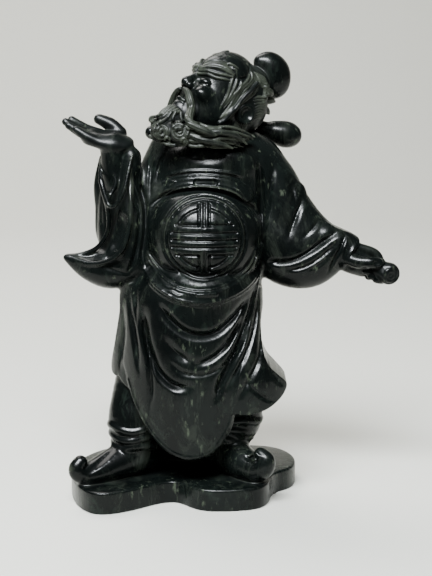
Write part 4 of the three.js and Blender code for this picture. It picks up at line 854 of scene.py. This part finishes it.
def face(clay):
    # calm, even features: lowered lids under full brows, round cheeks, a straight nose
    clay.add(limb(head.path([(18.5, 0, 5.5, 2.2), (21, 0, 0.5, 2.3), (22.8, 0, -3.2, 2.9)])), 1.6)
    for s in (-1, 1):
        clay.add(blob((20.8, 2.9 * s, -4.2), (2.6, 2, 2), head), 0.8)
        clay.carve(blob((22.3, 1.7 * s, -6.3), (1, 0.9, 1.1), head), 0.5)
        clay.carve(blob((20.6, 7.4 * s, 1.8), (4.2, 5, 2.8), head), 2)
        clay.add(blob((16.2, 7.1 * s, 1.2), (3.6, 4.3, 2.7), head), 0.5)
        clay.carve(limb(head.path([
            (19.2, 3.6 * s, 0, 0.45), (19.4, 7.2 * s, -1, 0.5), (16.8, 11 * s, 0.2, 0.4),
        ])), 0.4)
        clay.add(blob((14.6, 9 * s, -5.6), (5.2, 5, 4.4), head), 3)
        clay.add(limb(head.path([(f, side * s, u, r) for f, side, u, r in browShape["core"]])), 1.5, rough=1)
        for strand in fanned(browShape["low"], browShape["high"], browShape["strands"], browShape["wave"]):
            rows = [(f, side * s, u, r) for f, side, u, r in strand]
            addStrand(clay, laidRound(clay, head.origin, head.path(rows), 0.2))
    clay.add(limb(head.path([(19, -3.6, -12.9, 1.1), (20.6, 0, -12.6, 1.5), (19, 3.6, -12.9, 1.1)])), 0.6)
    clay.add(limb(head.path([(18.6, -3, -15.2, 1.2), (20, 0, -15.4, 1.7), (18.6, 3, -15.2, 1.2)])), 0.6)


def crown(clay):
    # smooth and shaven in front
    clay.add(blob((2, 0, 9.4), (18.6, 17, 19.8), head), 1)


def ringAlong(frameUsed, centre, facing, radius, thick):
    # a small closed curl that faces a direction of a frame
    facing = np.array(facing, float) / np.linalg.norm(facing)
    across = np.array((0, 1, 0))
    rise = np.cross(facing, across)
    rows = []
    for a in np.linspace(0, 2 * math.pi, 11):
        rows.append((*(np.array(centre) + radius * (math.cos(a) * across + math.sin(a) * rise)), thick))
    return frameUsed.path(rows)


# forward, side and up of each curl over the brow, and its radius
browCurls = [(16.6, 3.4, 19, 1.7), (15.4, 1.4, 21.6, 2), (13.9, 0, 24.3, 1.7), (15.4, -3, 21.4, 2)]


def topknot(clay):
    # the full pouch of a bound knot, and small curls over the brow
    clay.add(limb(head.path([
        (-8.6, 0, 35, 5), (-13, 0, 36.2, 7.9), (-18, 0, 34.8, 9.6), (-22.4, 0, 31.6, 8.2),
        (-25.2, 0, 28.2, 4.6),
    ])), 1)
    for *centre, radius in browCurls:
        clay.add(limb(ringAlong(head, centre, (0.8, 0, 0.6), radius, 0.75)), 0.5, rough=1)


hairShape = {
    "lip": [(17, 17.2), (12.5, 15), (9.4, 13.9), (5.2, 13.4), (1.9, 16.6), (1.5, 21.4), (3, 26.5)],
    "cord": [(-5.3, 18.4), (-3.9, 12.6), (-2.4, 7.4), (-1.6, 1.4), (-1.3, -4.3), (-1.6, -9.5), (-0.9, -13)],
    # first and last strand of each sweep as forward and up, how many there are, and their radius
    "sweeps": [
        ([(1.6, 24.5), (0.2, 19.6), (1, 14.4), (1.8, 9), (1.2, 3), (1, -3.5), (1, -10)],
         [(-4.6, 26.5), (-7.6, 21), (-7.2, 13.6), (-5.4, 8), (-3.6, 1.6), (-3, -5), (-2.4, -11)], 6, 0.85),
        ([(-2, 29.4), (-7, 28.6), (-11, 26.4), (-15, 22.6), (-18, 19)],
         [(-6, 22), (-9.6, 21), (-12.4, 19.4), (-14.6, 16.4), (-17, 13)], 7, 0.75),
        ([(-8.8, 10.4), (-12, 14), (-17, 17), (-23, 18.6)],
         [(-17.6, 2.4), (-20, 5.6), (-23.6, 7.4), (-27.4, 8)], 9, 0.75),
        ([(8.6, 12), (7, 7.4), (5.4, 1.5), (4.6, -4.6)],
         [(3.6, 12.6), (2.6, 8), (2.4, 2), (2.4, -4.6)], 3, 0.8),
        ([(-16.4, 0), (-18.6, -4), (-21, -8)], [(-9, -6), (-10.6, -9.4), (-13, -13)], 8, 0.75),
    ],
    "wave": 0.35,
}


def hair(clay):
    # locks sweep from the crown down to the beard and back to the knot, round a disc-shaped ear
    clay.add(blob((-11, 0, 7), (15.5, 15.6, 19), head), 2, rough=1)
    clay.add(blob((-9, 0, 17), (13, 14.4, 13.6), head), 2, rough=1)
    clay.add(blob((-14, 0, 7), (14, 13, 14), head), 2, rough=1)
    clay.add(blob((-13, 0, -8), (11, 13, 12), head), 3, rough=1)
    onBothSides(clay, [groove(hairShape["lip"], 1.5, 1.3)])
    for s in (-1, 1):
        for first, last, count, thick in hairShape["sweeps"]:
            for strand in fanned(first, last, count, hairShape["wave"]):
                rows = [(f, 15 * s, u, thick if 0 < i < len(strand) - 1 else thick / 2)
                        for i, (f, u) in enumerate(strand)]
                addStrand(clay, laidRound(clay, head.origin, head.path(rows), 0.1))
        cord = [(f, 15.5 * s, u, 1.2) for f, u in hairShape["cord"]]
        addStrand(clay, laidRound(clay, head.origin, head.path(cord), 0.5))
    for s in (-1, 1):
        for lock in (
            [(-12, 12.5 * s, 17, 1.6), (-16, 11.5 * s, 20.6, 2.4), (-19.4, 9.5 * s, 21.6, 1.6)],
            [(-17, 9.5 * s, 15.6, 2), (-22, 7 * s, 19.4, 2.3), (-27, 3.4 * s, 22, 0.8)],
            [(-19, 9 * s, 11, 1.8), (-24, 6 * s, 14, 2), (-28.4, 3 * s, 14.6, 0.8)],
            [(-18, 8.5 * s, 5, 1.8), (-23, 6.5 * s, 7.4, 2), (-27.6, 3 * s, 8.6, 0.8)],
        ):
            addLock(clay, head.path(lock))
        ear = (-9.7, 15 * s, 0.6)
        clay.add(blob(ear, (5.4, 2.6, 5.4), head), 0.8)
        clay.carve(blob((ear[0], 18.6 * s, ear[2]), (4, 3, 4), head), 0.5)
        rim = [(ear[0] + 4.6 * math.cos(a), 16.7 * s, ear[2] + 4.6 * math.sin(a), 1.05)
               for a in np.linspace(0, 2 * math.pi, 13)]
        clay.add(limb(head.path(rim)), 0.5)


beardShape = {
    "base": [
        (-12, -17, 206.8, 4), (-5, -20, 207.3, 5.6), (6, -21.6, 206, 5.6), (18, -21.4, 204.8, 5.2),
        (27, -18.6, 204.2, 4.2), (33, -14.6, 203.6, 3), (37, -11, 203.4, 1.6),
    ],
    # locks from the mouth that curl at the left: path, spiral radius, turns, side
    "curls": [
        ([(-8, -24, 216.6, 0.9), (-11, -23, 214, 1), (-15, -21, 212.4, 0.9)], 2.4, 1.4, 1),
        ([(-6, -25, 217, 0.9), (-8.6, -25, 213.4, 1), (-13, -24, 210.8, 0.9)], 4.4, 2.2, 1),
        ([(-3.4, -26, 217.4, 0.9), (-5, -27, 213.6, 1), (-4.6, -27, 210.4, 0.9)], 2.6, 1.4, 1),
        ([(-0.6, -26, 217, 0.9), (-0.4, -27, 213.8, 1), (2.2, -27.4, 211, 0.9)], 5, 2.4, -1),
        ([(-17.6, -19, 204.4, 0.8), (-13.6, -21.6, 202, 1), (-8.6, -24, 200.8, 0.8)], 2, 1.3, 1),
        ([(-9, -24, 200.4, 0.8), (-4, -26, 199.8, 1), (1, -27, 200, 0.8)], 2.2, 1.3, 1),
        ([(-10, -23, 216.4, 0.8), (-13.4, -21.6, 215, 0.9), (-16.4, -20, 214.6, 0.8)], 1.6, 1, 1),
        ([(2, -26, 216, 0.8), (2.2, -27, 213.4, 0.9), (4.6, -27.6, 211.4, 0.8)], 1.8, 1, -1),
    ],
    "chinStrands": [
        [(19.5, 6.4, -19.5, 0.8), (21.4, 6, -24, 0.8), (20.6, 5, -29, 0.7), (17, 4, -33, 0.5)],
        [(19.5, -6.4, -19.5, 0.8), (21.4, -6, -24, 0.8), (20.6, -6, -29, 0.7), (17, -6, -33, 0.5)],
        9,
    ],
    # the long sweep to the right: first and last strand, and each strand's share of the length
    "sweep": [
        [(3.6, -26.5, 213.2, 0.9), (9, -27, 210.9, 0.85), (16, -27, 209.6, 0.85), (24, -25, 209.4, 0.8),
         (31, -21, 207.6, 0.75), (39, -15, 203.8, 0.4)],
        [(1.6, -26.5, 200.4, 0.9), (7, -27, 199.6, 0.85), (13, -27, 199.2, 0.85), (19, -25.5, 199, 0.8),
         (25, -23, 198.6, 0.75), (31, -19, 197.8, 0.4)],
    ],
    "lengths": (1, 0.95, 0.99, 0.9, 0.97, 0.84, 1, 0.9, 0.8, 1, 0.86, 0.95),
    "wave": 0.4,
    # longer locks that lie over the sweep
    "over": [
        [(8, -27.8, 208, 0.9), (14, -28.4, 207, 1.4), (22, -27.6, 206.8, 1.6), (29, -23.6, 204.6, 1.4),
         (34.6, -18.8, 199.8, 0.5)],
        [(4, -28, 205.6, 0.9), (9, -28.4, 203.4, 1.4), (15, -28.2, 202, 1.5), (21.6, -26.6, 200.4, 1.2),
         (27, -24, 198, 0.5)],
    ],
}


def beard(clay):
    # it lies on the chest like a collar, curled at the left and swept to the right
    clay.add(limb(beardShape["base"]), 2, rough=1)
    clay.add(limb(head.path([(14, 0, -19.5, 7), (18, 0, -25, 6.2), (19, -2, -29, 4.2)])), 3, rough=1)
    clay.add(blob((-1.1, -22, 206), (6.6, 6.4, 6.6)), 2, rough=1)
    clay.add(blob((-11.4, -20, 206.6), (5.2, 6, 5.2)), 2, rough=1)
    first, last = beardShape["sweep"]
    lengths = beardShape["lengths"]
    for n, share in enumerate(lengths):
        path = np.array(first) + (np.array(last) - first) * n / (len(lengths) - 1)
        path[:, 0] = path[0, 0] + (path[:, 0] - path[0, 0]) * share
        path[:, 2] += beardShape["wave"] * np.sin(2.3 * np.arange(len(path)) + 2 * n)
        addStrand(clay, laidInFront(clay, path, 0.1), 0.12)
    first, last, count = beardShape["chinStrands"]
    chin = head.point(8, 0, -22)
    for strand in fanned(first, last, count):
        addStrand(clay, laidRound(clay, chin, head.path(strand), 0.1), 0.12)
    for path, radius, turns, side in beardShape["curls"]:
        addStrand(clay, laidInFront(clay, curled(path, radius, turns, side), 0.2), 0.12)
    for path in beardShape["over"]:
        addLock(clay, path, 0.8)
    for s in (-1, 1):
        moustache = head.path([
            (22.4, 1.8 * s, -7.6, 1.2), (21.2, 6 * s, -9, 1.8), (19, 9.4 * s, -12.6, 2.1),
            (16.2, 11.4 * s, -17, 2.2),
        ])
        if s > 0:
            moustache += [(3.6, -27.6, 213, 2.2), (7.4, -29.4, 210, 2), (12.6, -29.8, 207.6, 1.7),
                          (18, -29, 205.4, 0.8)]
        else:
            moustache += head.path([(12.4, 11 * s, -22, 1.8), (9.4, 9 * s, -26, 1)])
        addLock(clay, moustache, 1.2)


# Folds that read from a step away

apronHem = [
    (-31, 70), (-26.5, 57), (-18, 42.5), (-10, 34), (-2, 29.6), (6, 28.6), (13.5, 30.6),
    (19.8, 36.6), (25.4, 46.5), (28, 58), (31, 75), (34, 92),
]
# valleys cut to a line: points, half width, depth
skirtFolds = [
    ([(-13.4, 116), (-7.9, 108.1), (-1.8, 102.4), (4.3, 99.2), (11.4, 98.2), (18.6, 99.8), (24.7, 104.4),
      (30.8, 110.7), (36.2, 119)], 4.2, 3.8),
    ([(-9.6, 96.5), (-4.4, 89.4), (1.2, 85.4), (6, 84)], 4.2, 2.4),
    ([(5, 81.6), (13.5, 84.2), (20.6, 88.8), (27.7, 96.6), (33, 106)], 3.4, 3),
    ([(-7, 84), (0.1, 77.7), (9.3, 76.2), (16.5, 77.7), (23.7, 82), (30.8, 89.3), (36.4, 100)], 2.4, 1.4),
    ([(-20.8, 112), (-20.8, 101.4), (-19.2, 93), (-16.8, 85.7), (-13.6, 78.3), (-8.6, 72.5), (-2.6, 69.3),
      (5, 70)], 4, 3.8),
    ([(39.4, 124), (37.5, 111.4), (33.9, 101), (28.8, 88.4), (23.7, 77.8), (19.6, 69.3),
      (17.6, 60)], 3.6, 3.6),
    ([(36.4, 120), (31.8, 105.6), (26.7, 96.2), (20.6, 87.4)], 2.2, 1.6),
    ([(41.8, 121.4), (40.1, 105.8), (37.1, 92.1), (29.9, 77.3), (22.6, 66)], 2.4, 2),
    ([(44.8, 117.6), (45, 99.7), (42, 83.8), (36.3, 72), (30, 61)], 3, 2),
    ([(-21, 106), (-19.4, 92.6), (-17.9, 78.7), (-17.5, 64.6), (-19.4, 50)], 2.6, 2),
    ([(-29.6, 119), (-27.1, 100), (-25.6, 88.9), (-23.6, 72)], 2.6, 2.2),
    ([(-25.1, 124.9), (-25.7, 112), (-25, 100)], 2, 1.6),
    ([(-33, 112), (-33, 96), (-35, 82), (-36.4, 72)], 2.2, 1.6),
    ([(33, 72), (40, 65), (46, 60), (52, 57)], 2.4, 1.4),
    ([(44, 96), (46, 80), (52, 70), (56, 65)], 2.4, 1.5),
]
sleeveFolds = [
    ([(-24.3, 186), (-24.3, 177.8), (-21.1, 166.9), (-20.7, 153.2), (-22.5, 138.9),
      (-20.4, 132.2)], 2.4, 2.4),
    ([(-27, 184), (-27, 175.1), (-23.9, 161.4), (-24.6, 147.7), (-27.5, 135.5), (-31.4, 128.3)], 2.2, 1.8),
    ([(-15.1, 204), (-16.8, 191.9), (-18, 181), (-18, 168)], 1.6, 1.6),
    ([(-7.6, 198), (-11.9, 190.4), (-13.6, 185.6), (-15, 178)], 1.6, 1.6),
    ([(40, 196), (42.5, 180), (43.5, 160), (43.2, 145), (43, 134)], 3.6, 3.8),
    ([(50, 190), (47.5, 172), (45, 150)], 2.6, 1.8),
    ([(46, 134.6), (53, 134.6), (61, 136.2), (69.4, 140.6), (77.5, 146.4), (86, 152)], 3, 3.2),
    ([(55, 130.4), (63, 131), (71, 134.4), (79, 140.4), (85.6, 147)], 1.8, 1.8),
    ([(68, 130), (75, 133.6), (81.6, 140)], 1.4, 1.2),
    ([(68, 174), (62, 160), (57, 146)], 3, 2.2),
    ([(76, 160), (72, 154), (64, 147)], 2, 1),
    ([(-47, 176), (-46.4, 164), (-44.6, 152)], 2, 1.4),
    ([(-44, 134), (-36, 130.6), (-28, 128.6)], 2, 1.2),
    ([(56, 182), (60, 174), (62, 166)], 2, 1.2),
]


def drapery(clay):
    drawOn(clay, front, [groove(*row) for row in skirtFolds + sleeveFolds], 0)
    drawOn(clay, front, [
        ridge([(-10, 181.6), (-5, 183.8), (2, 185.2), (10, 185.6), (20, 185.2), (28, 184),
               (33, 182)], 1.5, 1.3),
    ])
    drawOn(clay, front, [[[x, z, 1.2, 0.55 if i < len(apronHem) - 1 else 0]
                          for i, (x, z) in enumerate(apronHem)]])
    backFolds = []
    for i in range(7):
        x, sway = -8 + 10 * (i - 3), 4 * math.sin(2.1 * i)
        backFolds.append(groove(
            [(-12 + 0.25 * (x + 8), 122), (x + sway, 92), (x * 1.12, 56), (x * 1.1 - 2, 20)], 3.6, 3))
    for i in range(4):
        x = -16 + 18 * (i - 1.5)
        backFolds.append(groove(
            [(x - 4, 196), (-16 + 0.7 * (x + 16), 165), (-13 + 0.5 * (x + 13), 136)], 3, 2))
    drawOn(clay, back, backFolds)
    girdle = [(-46, 133), (-26, 128), (-8, 126.5), (12, 128), (30, 133)]
    drawOn(clay, back, [[[x, z, 6, 2.2] for x, z in girdle]], 0.4)


# The mesh

def meshOf(name, points, faces):
    # faces all have the same number of corners
    mesh = bpy.data.meshes.new(name)
    mesh.vertices.add(len(points))
    mesh.vertices.foreach_set("co", np.ascontiguousarray(points, np.float32).ravel())
    mesh.loops.add(faces.size)
    mesh.loops.foreach_set("vertex_index", np.ascontiguousarray(faces, np.int32).ravel())
    mesh.polygons.add(len(faces))
    mesh.polygons.foreach_set("loop_start", np.arange(0, faces.size, faces.shape[1], dtype=np.int32))
    mesh.update(calc_edges=True)
    return mesh


def largestPiece(pointCount, faces):
    # the faces of the largest skin; any other is the skin of a bubble inside it
    label = np.arange(pointCount)
    while True:
        low = label[faces].min(1)
        lower = label.copy()
        for corner in faces.T:
            np.minimum.at(lower, corner, low)
        lower = lower[lower]
        if (lower == label).all():
            break
        label = lower
    names, counts = np.unique(label[faces[:, 0]], return_counts=True)
    return faces[label[faces[:, 0]] == names[counts.argmax()]]


bodyWork = (plinth, legs, torso, skirts, beltsAndRoundel, raisedSleeve, openHand, loweredSleeve, fist,
            drapery, shoulderRoll)
headWork = (skull, crown, hair, topknot, face, beard)


def worked(name, work):
    look = clayWork[name]
    clay = Clay(look["low"], look["high"], look["voxel"])
    for step in work:
        step(clay)
        print("carved:", step.__name__)
    return clay


def addFinish(mesh, name, values):
    # a number at each point that the stone's finish reads
    layerMade = mesh.attributes.new(name, "FLOAT", "POINT")
    layerMade.data.foreach_set("value", np.clip(values, 0, 1).astype(np.float32))


def stonePiece(name, clay, around):
    skin = skinVoxels * clay.step
    grid = openvdb.FloatGrid(background=skin)
    grid.copyFromArray(np.clip(clay.field, -skin, skin))
    points, quads = grid.convertToQuads(0.0)
    points = (points * clay.step + clay.low) * millimetre
    print("meshed:", name, len(quads), "quads")
    whole = bpy.data.objects.new("whole", meshOf("whole", points, quads))
    bpy.context.scene.collection.objects.link(whole)
    even = whole.modifiers.new("even", "SMOOTH")
    even.factor, even.iterations = evenShare, clayWork[name]["evening"]
    thin = whole.modifiers.new("thin", "DECIMATE")
    thin.ratio = min(1, clayWork[name]["triangles"] / (2 * len(quads)))
    thinned = whole.evaluated_get(bpy.context.evaluated_depsgraph_get()).to_mesh()
    thinned.calc_loop_triangles()
    points = np.empty(len(thinned.vertices) * 3, np.float32)
    thinned.vertices.foreach_get("co", points)
    points = points.reshape(-1, 3)
    faces = np.empty(len(thinned.loop_triangles) * 3, np.int32)
    thinned.loop_triangles.foreach_get("vertices", faces)
    faces = largestPiece(len(points), faces.reshape(-1, 3))
    bpy.data.objects.remove(whole)
    used, faces = np.unique(faces, return_inverse=True)
    points = points[used]
    faces = faces.reshape(-1, 3)
    print("thinned:", len(faces), "triangles")
    mesh = meshOf(name, points, faces)
    mesh.shade_smooth()
    places = points / millimetre
    outward = clay.outward(places, clay.step)
    above = np.min([other.read(other.field, places + outward * hollowReach) for other in around], axis=0)
    below = clay.read(clay.field, places - outward * ridgeReach)
    addFinish(mesh, "hollow", 1 - above / hollowReach)
    addFinish(mesh, "ridge", 1 + below / ridgeReach)
    addFinish(mesh, "chiselled", clay.read(clay.rough, places))
    return bpy.data.objects.new(name, mesh)


# Materials

class Value:
    # wraps a socket, so that an expression on values adds its Math nodes
    def __init__(self, maker, socket):
        self.maker, self.socket = maker, socket

    def math(self, operation, *others, clamp=False):
        sockets = {i: v.socket if isinstance(v, Value) else v for i, v in enumerate(others)}
        return self.maker.add("ShaderNodeMath", {"operation": operation, "use_clamp": clamp}, sockets)

    def __add__(self, other): return self.math("ADD", self, other)
    def __radd__(self, other): return self.math("ADD", other, self)
    def __sub__(self, other): return self.math("SUBTRACT", self, other)
    def __rsub__(self, other): return self.math("SUBTRACT", other, self)
    def __mul__(self, other): return self.math("MULTIPLY", self, other)
    def __rmul__(self, other): return self.math("MULTIPLY", other, self)

    def clamped(self):
        return self.math("ADD", self, 0, clamp=True)


class Maker:
    def __init__(self, name):
        self.material = bpy.data.materials.new(name)
        self.material.use_nodes = True
        self.tree = self.material.node_tree
        self.tree.nodes.clear()

    def add(self, kind, settings=None, sockets=None, out=0):
        node = self.tree.nodes.new(kind)
        for key, value in (settings or {}).items():
            setattr(node, key, value)
        for key, value in (sockets or {}).items():
            self.join(value, node.inputs[key])
        return Value(self, node.outputs[out]) if node.outputs else node

    def join(self, value, socket):
        if isinstance(value, Value):
            value = value.socket
        if isinstance(value, bpy.types.NodeSocket):
            self.tree.links.new(value, socket)
        else:
            socket.default_value = value

    def noise(self, place, scale, detail=4, roughness=0.55, distortion=0):
        return self.add("ShaderNodeTexNoise", {"noise_dimensions": "3D"}, {
            "Vector": place, "Scale": scale, "Detail": detail, "Roughness": roughness,
            "Distortion": distortion,
        })

    def ramp(self, value, low, high, lowValue=0.0, highValue=1.0):
        # a smooth step from one value to another
        return self.add("ShaderNodeMapRange", {"interpolation_type": "SMOOTHSTEP"}, {
            "Value": value, "From Min": low, "From Max": high, "To Min": lowValue, "To Max": highValue,
        })

    def mix(self, factor, first, second):
        return self.add("ShaderNodeMix", {"data_type": "RGBA"}, {0: factor, 6: first, 7: second}, out=2)


stoneLook = {
    "deep": (0.0016, 0.0025, 0.0024, 1),
    "green": (0.0042, 0.0063, 0.0057, 1),
    "vein": (0.016, 0.024, 0.019, 1),
    "patch": (0.021, 0.026, 0.020, 1),
    "fleck": (0.13, 0.16, 0.11, 1),
    # a light olive for crests: partly edge wear, partly a painted highlight
    "wearAndSheen": (0.052, 0.060, 0.045, 1),
    "polish": 0.25,
    "dull": 0.46,
}


def stoneMaterial():
    make = Maker("polishedGreenStone")
    place = make.add("ShaderNodeTexCoord", out=3)
    stretched = make.add("ShaderNodeMapping", {}, {"Vector": place, "Scale": (1, 1, 0.45)})
    standing = make.add("ShaderNodeMapping", {}, {"Vector": place, "Scale": (1, 1, 0.3)})
    hollow, raised, chiselled = (
        make.add("ShaderNodeAttribute", {"attribute_name": name}, out=2)
        for name in ("hollow", "ridge", "chiselled"))
    clouds = make.noise(stretched, 28, 5, 0.6, 0.6)
    veins = make.noise(stretched, 70, 6, 0.7, 1.6)
    specks = make.noise(stretched, 330, 3, 0.6)
    grain = make.noise(place, 1400, 2, 0.5)
    colour = make.mix(make.ramp(clouds, 0.36, 0.66), stoneLook["deep"], stoneLook["green"])
    colour = make.mix(make.ramp(veins, 0.54, 0.74) * 0.7, colour, stoneLook["vein"])
    patches = make.noise(standing, 75, 8, 0.72, 0.9)
    pale = make.ramp(patches, 0.5, 0.7)
    colour = make.mix(pale * 0.7, colour, stoneLook["patch"])
    fleck = make.ramp(specks, 0.6, 0.74) * make.ramp(clouds, 0.4, 0.6)
    colour = make.mix(fleck * 0.55, colour, stoneLook["fleck"])
    crest = make.ramp(raised, 0.3, 0.85)
    # rough, chiselled crests of strands and locks are lightened: partly edge wear, partly a painted
    # highlight
    chiselledWearAndSheen = chiselled * crest * make.ramp(specks, 0.25, 0.6, 0.35, 1)
    colour = make.mix((chiselledWearAndSheen * 0.75).clamped(), colour, stoneLook["wearAndSheen"])
    # every crest is lightened too: partly edge wear, partly a painted highlight along folds, rims and belts
    colour = make.mix(crest * 0.5, colour, stoneLook["wearAndSheen"])
    dull = (make.ramp(hollow, 0.25, 0.8) * 0.8 + chiselled * 0.6 + pale * 0.3).clamped()
    polish, rough = stoneLook["polish"], stoneLook["dull"]
    roughness = polish + dull * (rough - polish) + (clouds - 0.5) * 0.1 + (specks - 0.5) * 0.12
    wavy = make.noise(place, 130, 4, 0.55)
    height = wavy + make.noise(place, 48, 2, 0.5) * 1.6 + specks * 0.2 + grain * 0.05
    bump = make.add("ShaderNodeBump", {}, {"Strength": 0.42, "Distance": 0.0005, "Height": height})
    shader = make.add("ShaderNodeBsdfPrincipled", {}, {
        "Base Color": colour, "Roughness": roughness.clamped(), "Normal": bump, "IOR": 1.5,
        "Specular IOR Level": 0.15,
    })
    make.add("ShaderNodeOutputMaterial", {}, {"Surface": shader})
    return make.material


# The room: a plain pale sweep of paper, soft light, and the camera at the photograph's angle

cameraLook = {
    "place": (0.018, -0.750, 0.255),
    "downward": 10.37,
    "focalPixels": 1354,
    "longSide": 576,
    "sensor": 36,
}
paperLook = {
    "colour": (0.86, 0.865, 0.79, 1),
    "roughness": 0.9,
    "halfWidth": 2.2,
    "front": -0.2,
    "bend": 1.1,
    "radius": 0.7,
    "height": 2.2,
}
lightLook = {
    "window": {"place": (-0.18, -0.67, 1.02), "power": 36.0, "size": (0.8, 0.32), "target": (0.02, 0, 0.12),
               "colour": (0.93, 0.97, 1.0)},
    # the same window again, for the stone's highlights alone
    "sheen": {"place": (-0.22, -0.66, 1.03), "power": 62.0, "size": (0.64, 0.3), "target": (0.02, 0, 0.12),
              "colour": (0.93, 0.97, 1.0)},
    "ceiling": {"place": (-0.5, 0.75, 1.35), "power": 24.0, "size": (0.9, 0.9), "target": (-0.1, 0.5, 0),
                "colour": (1.0, 0.98, 0.95)},
    "room": (1.0, 0.98, 0.94, 1),
    "roomStrength": 0.12,
}


def cameraPiece():
    data = bpy.data.cameras.new("photoCamera")
    data.sensor_width = cameraLook["sensor"]
    data.lens = cameraLook["focalPixels"] / cameraLook["longSide"] * cameraLook["sensor"]
    data.clip_start, data.clip_end = 0.01, 20
    made = bpy.data.objects.new("photoCamera", data)
    made.location = cameraLook["place"]
    made.rotation_euler = (math.radians(90 - cameraLook["downward"]), 0, 0)
    bpy.context.scene.collection.objects.link(made)
    bpy.context.scene.camera = made


def paperMaterial():
    make = Maker("palePaper")
    place = make.add("ShaderNodeTexCoord", out=3)
    fibres = make.noise(place, 900, 3, 0.6)
    tone = make.mix(make.ramp(fibres, 0.3, 0.7) * 0.06, paperLook["colour"], (0.5, 0.5, 0.48, 1))
    bump = make.add("ShaderNodeBump", {}, {"Strength": 0.1, "Distance": 0.0002, "Height": fibres})
    shader = make.add("ShaderNodeBsdfPrincipled", {}, {
        "Base Color": tone, "Roughness": paperLook["roughness"], "Normal": bump,
        "Specular IOR Level": 0.2,
    })
    make.add("ShaderNodeOutputMaterial", {}, {"Surface": shader})
    return make.material


def paperSweep():
    look = paperLook
    profile = [(look["front"], 0)]
    for k in range(17):
        a = math.pi / 2 * k / 16
        profile.append((look["bend"] + look["radius"] * math.sin(a), look["radius"] * (1 - math.cos(a))))
    profile.append((look["bend"] + look["radius"], look["height"]))
    points = [(x, y, z) for y, z in profile for x in (-look["halfWidth"], look["halfWidth"])]
    faces = np.array([(2 * i, 2 * i + 1, 2 * i + 3, 2 * i + 2) for i in range(len(profile) - 1)])
    mesh = meshOf("paper", np.array(points), faces)
    mesh.shade_smooth()
    mesh.materials.append(paperMaterial())
    made = bpy.data.objects.new("paper", mesh)
    bpy.context.scene.collection.objects.link(made)


def softLight(name, look):
    data = bpy.data.lights.new(name, "AREA")
    data.shape = "RECTANGLE"
    data.energy = look["power"]
    data.color = look["colour"]
    data.size, data.size_y = look["size"]
    made = bpy.data.objects.new(name, data)
    made.location = look["place"]
    made.rotation_euler = (
        Vector(look["target"]) - Vector(look["place"])).to_track_quat("-Z", "Y").to_euler()
    bpy.context.scene.collection.objects.link(made)
    return made


def room():
    for name in ("window", "sheen", "ceiling"):
        made = softLight(name, lightLook[name])
        made.visible_diffuse = name != "sheen"
    world = bpy.data.worlds.new("room")
    world.use_nodes = True
    background = world.node_tree.nodes["Background"]
    background.inputs["Color"].default_value = lightLook["room"]
    background.inputs["Strength"].default_value = lightLook["roomStrength"]
    bpy.context.scene.world = world


cameraPiece()
paperSweep()
room()
print("stage: camera, paper and lights")
bodyClay = worked("carvedBody", bodyWork)
headClay = worked("carvedHead", headWork)
stone = stoneMaterial()
for name, clay in (("carvedBody", bodyClay), ("carvedHead", headClay)):
    piece = stonePiece(name, clay, (bodyClay, headClay))
    piece.data.materials.append(stone)
    bpy.context.scene.collection.objects.link(piece)
    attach(piece, "root")
    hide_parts("stone_figure")
    print("stage:", name, "is in place")
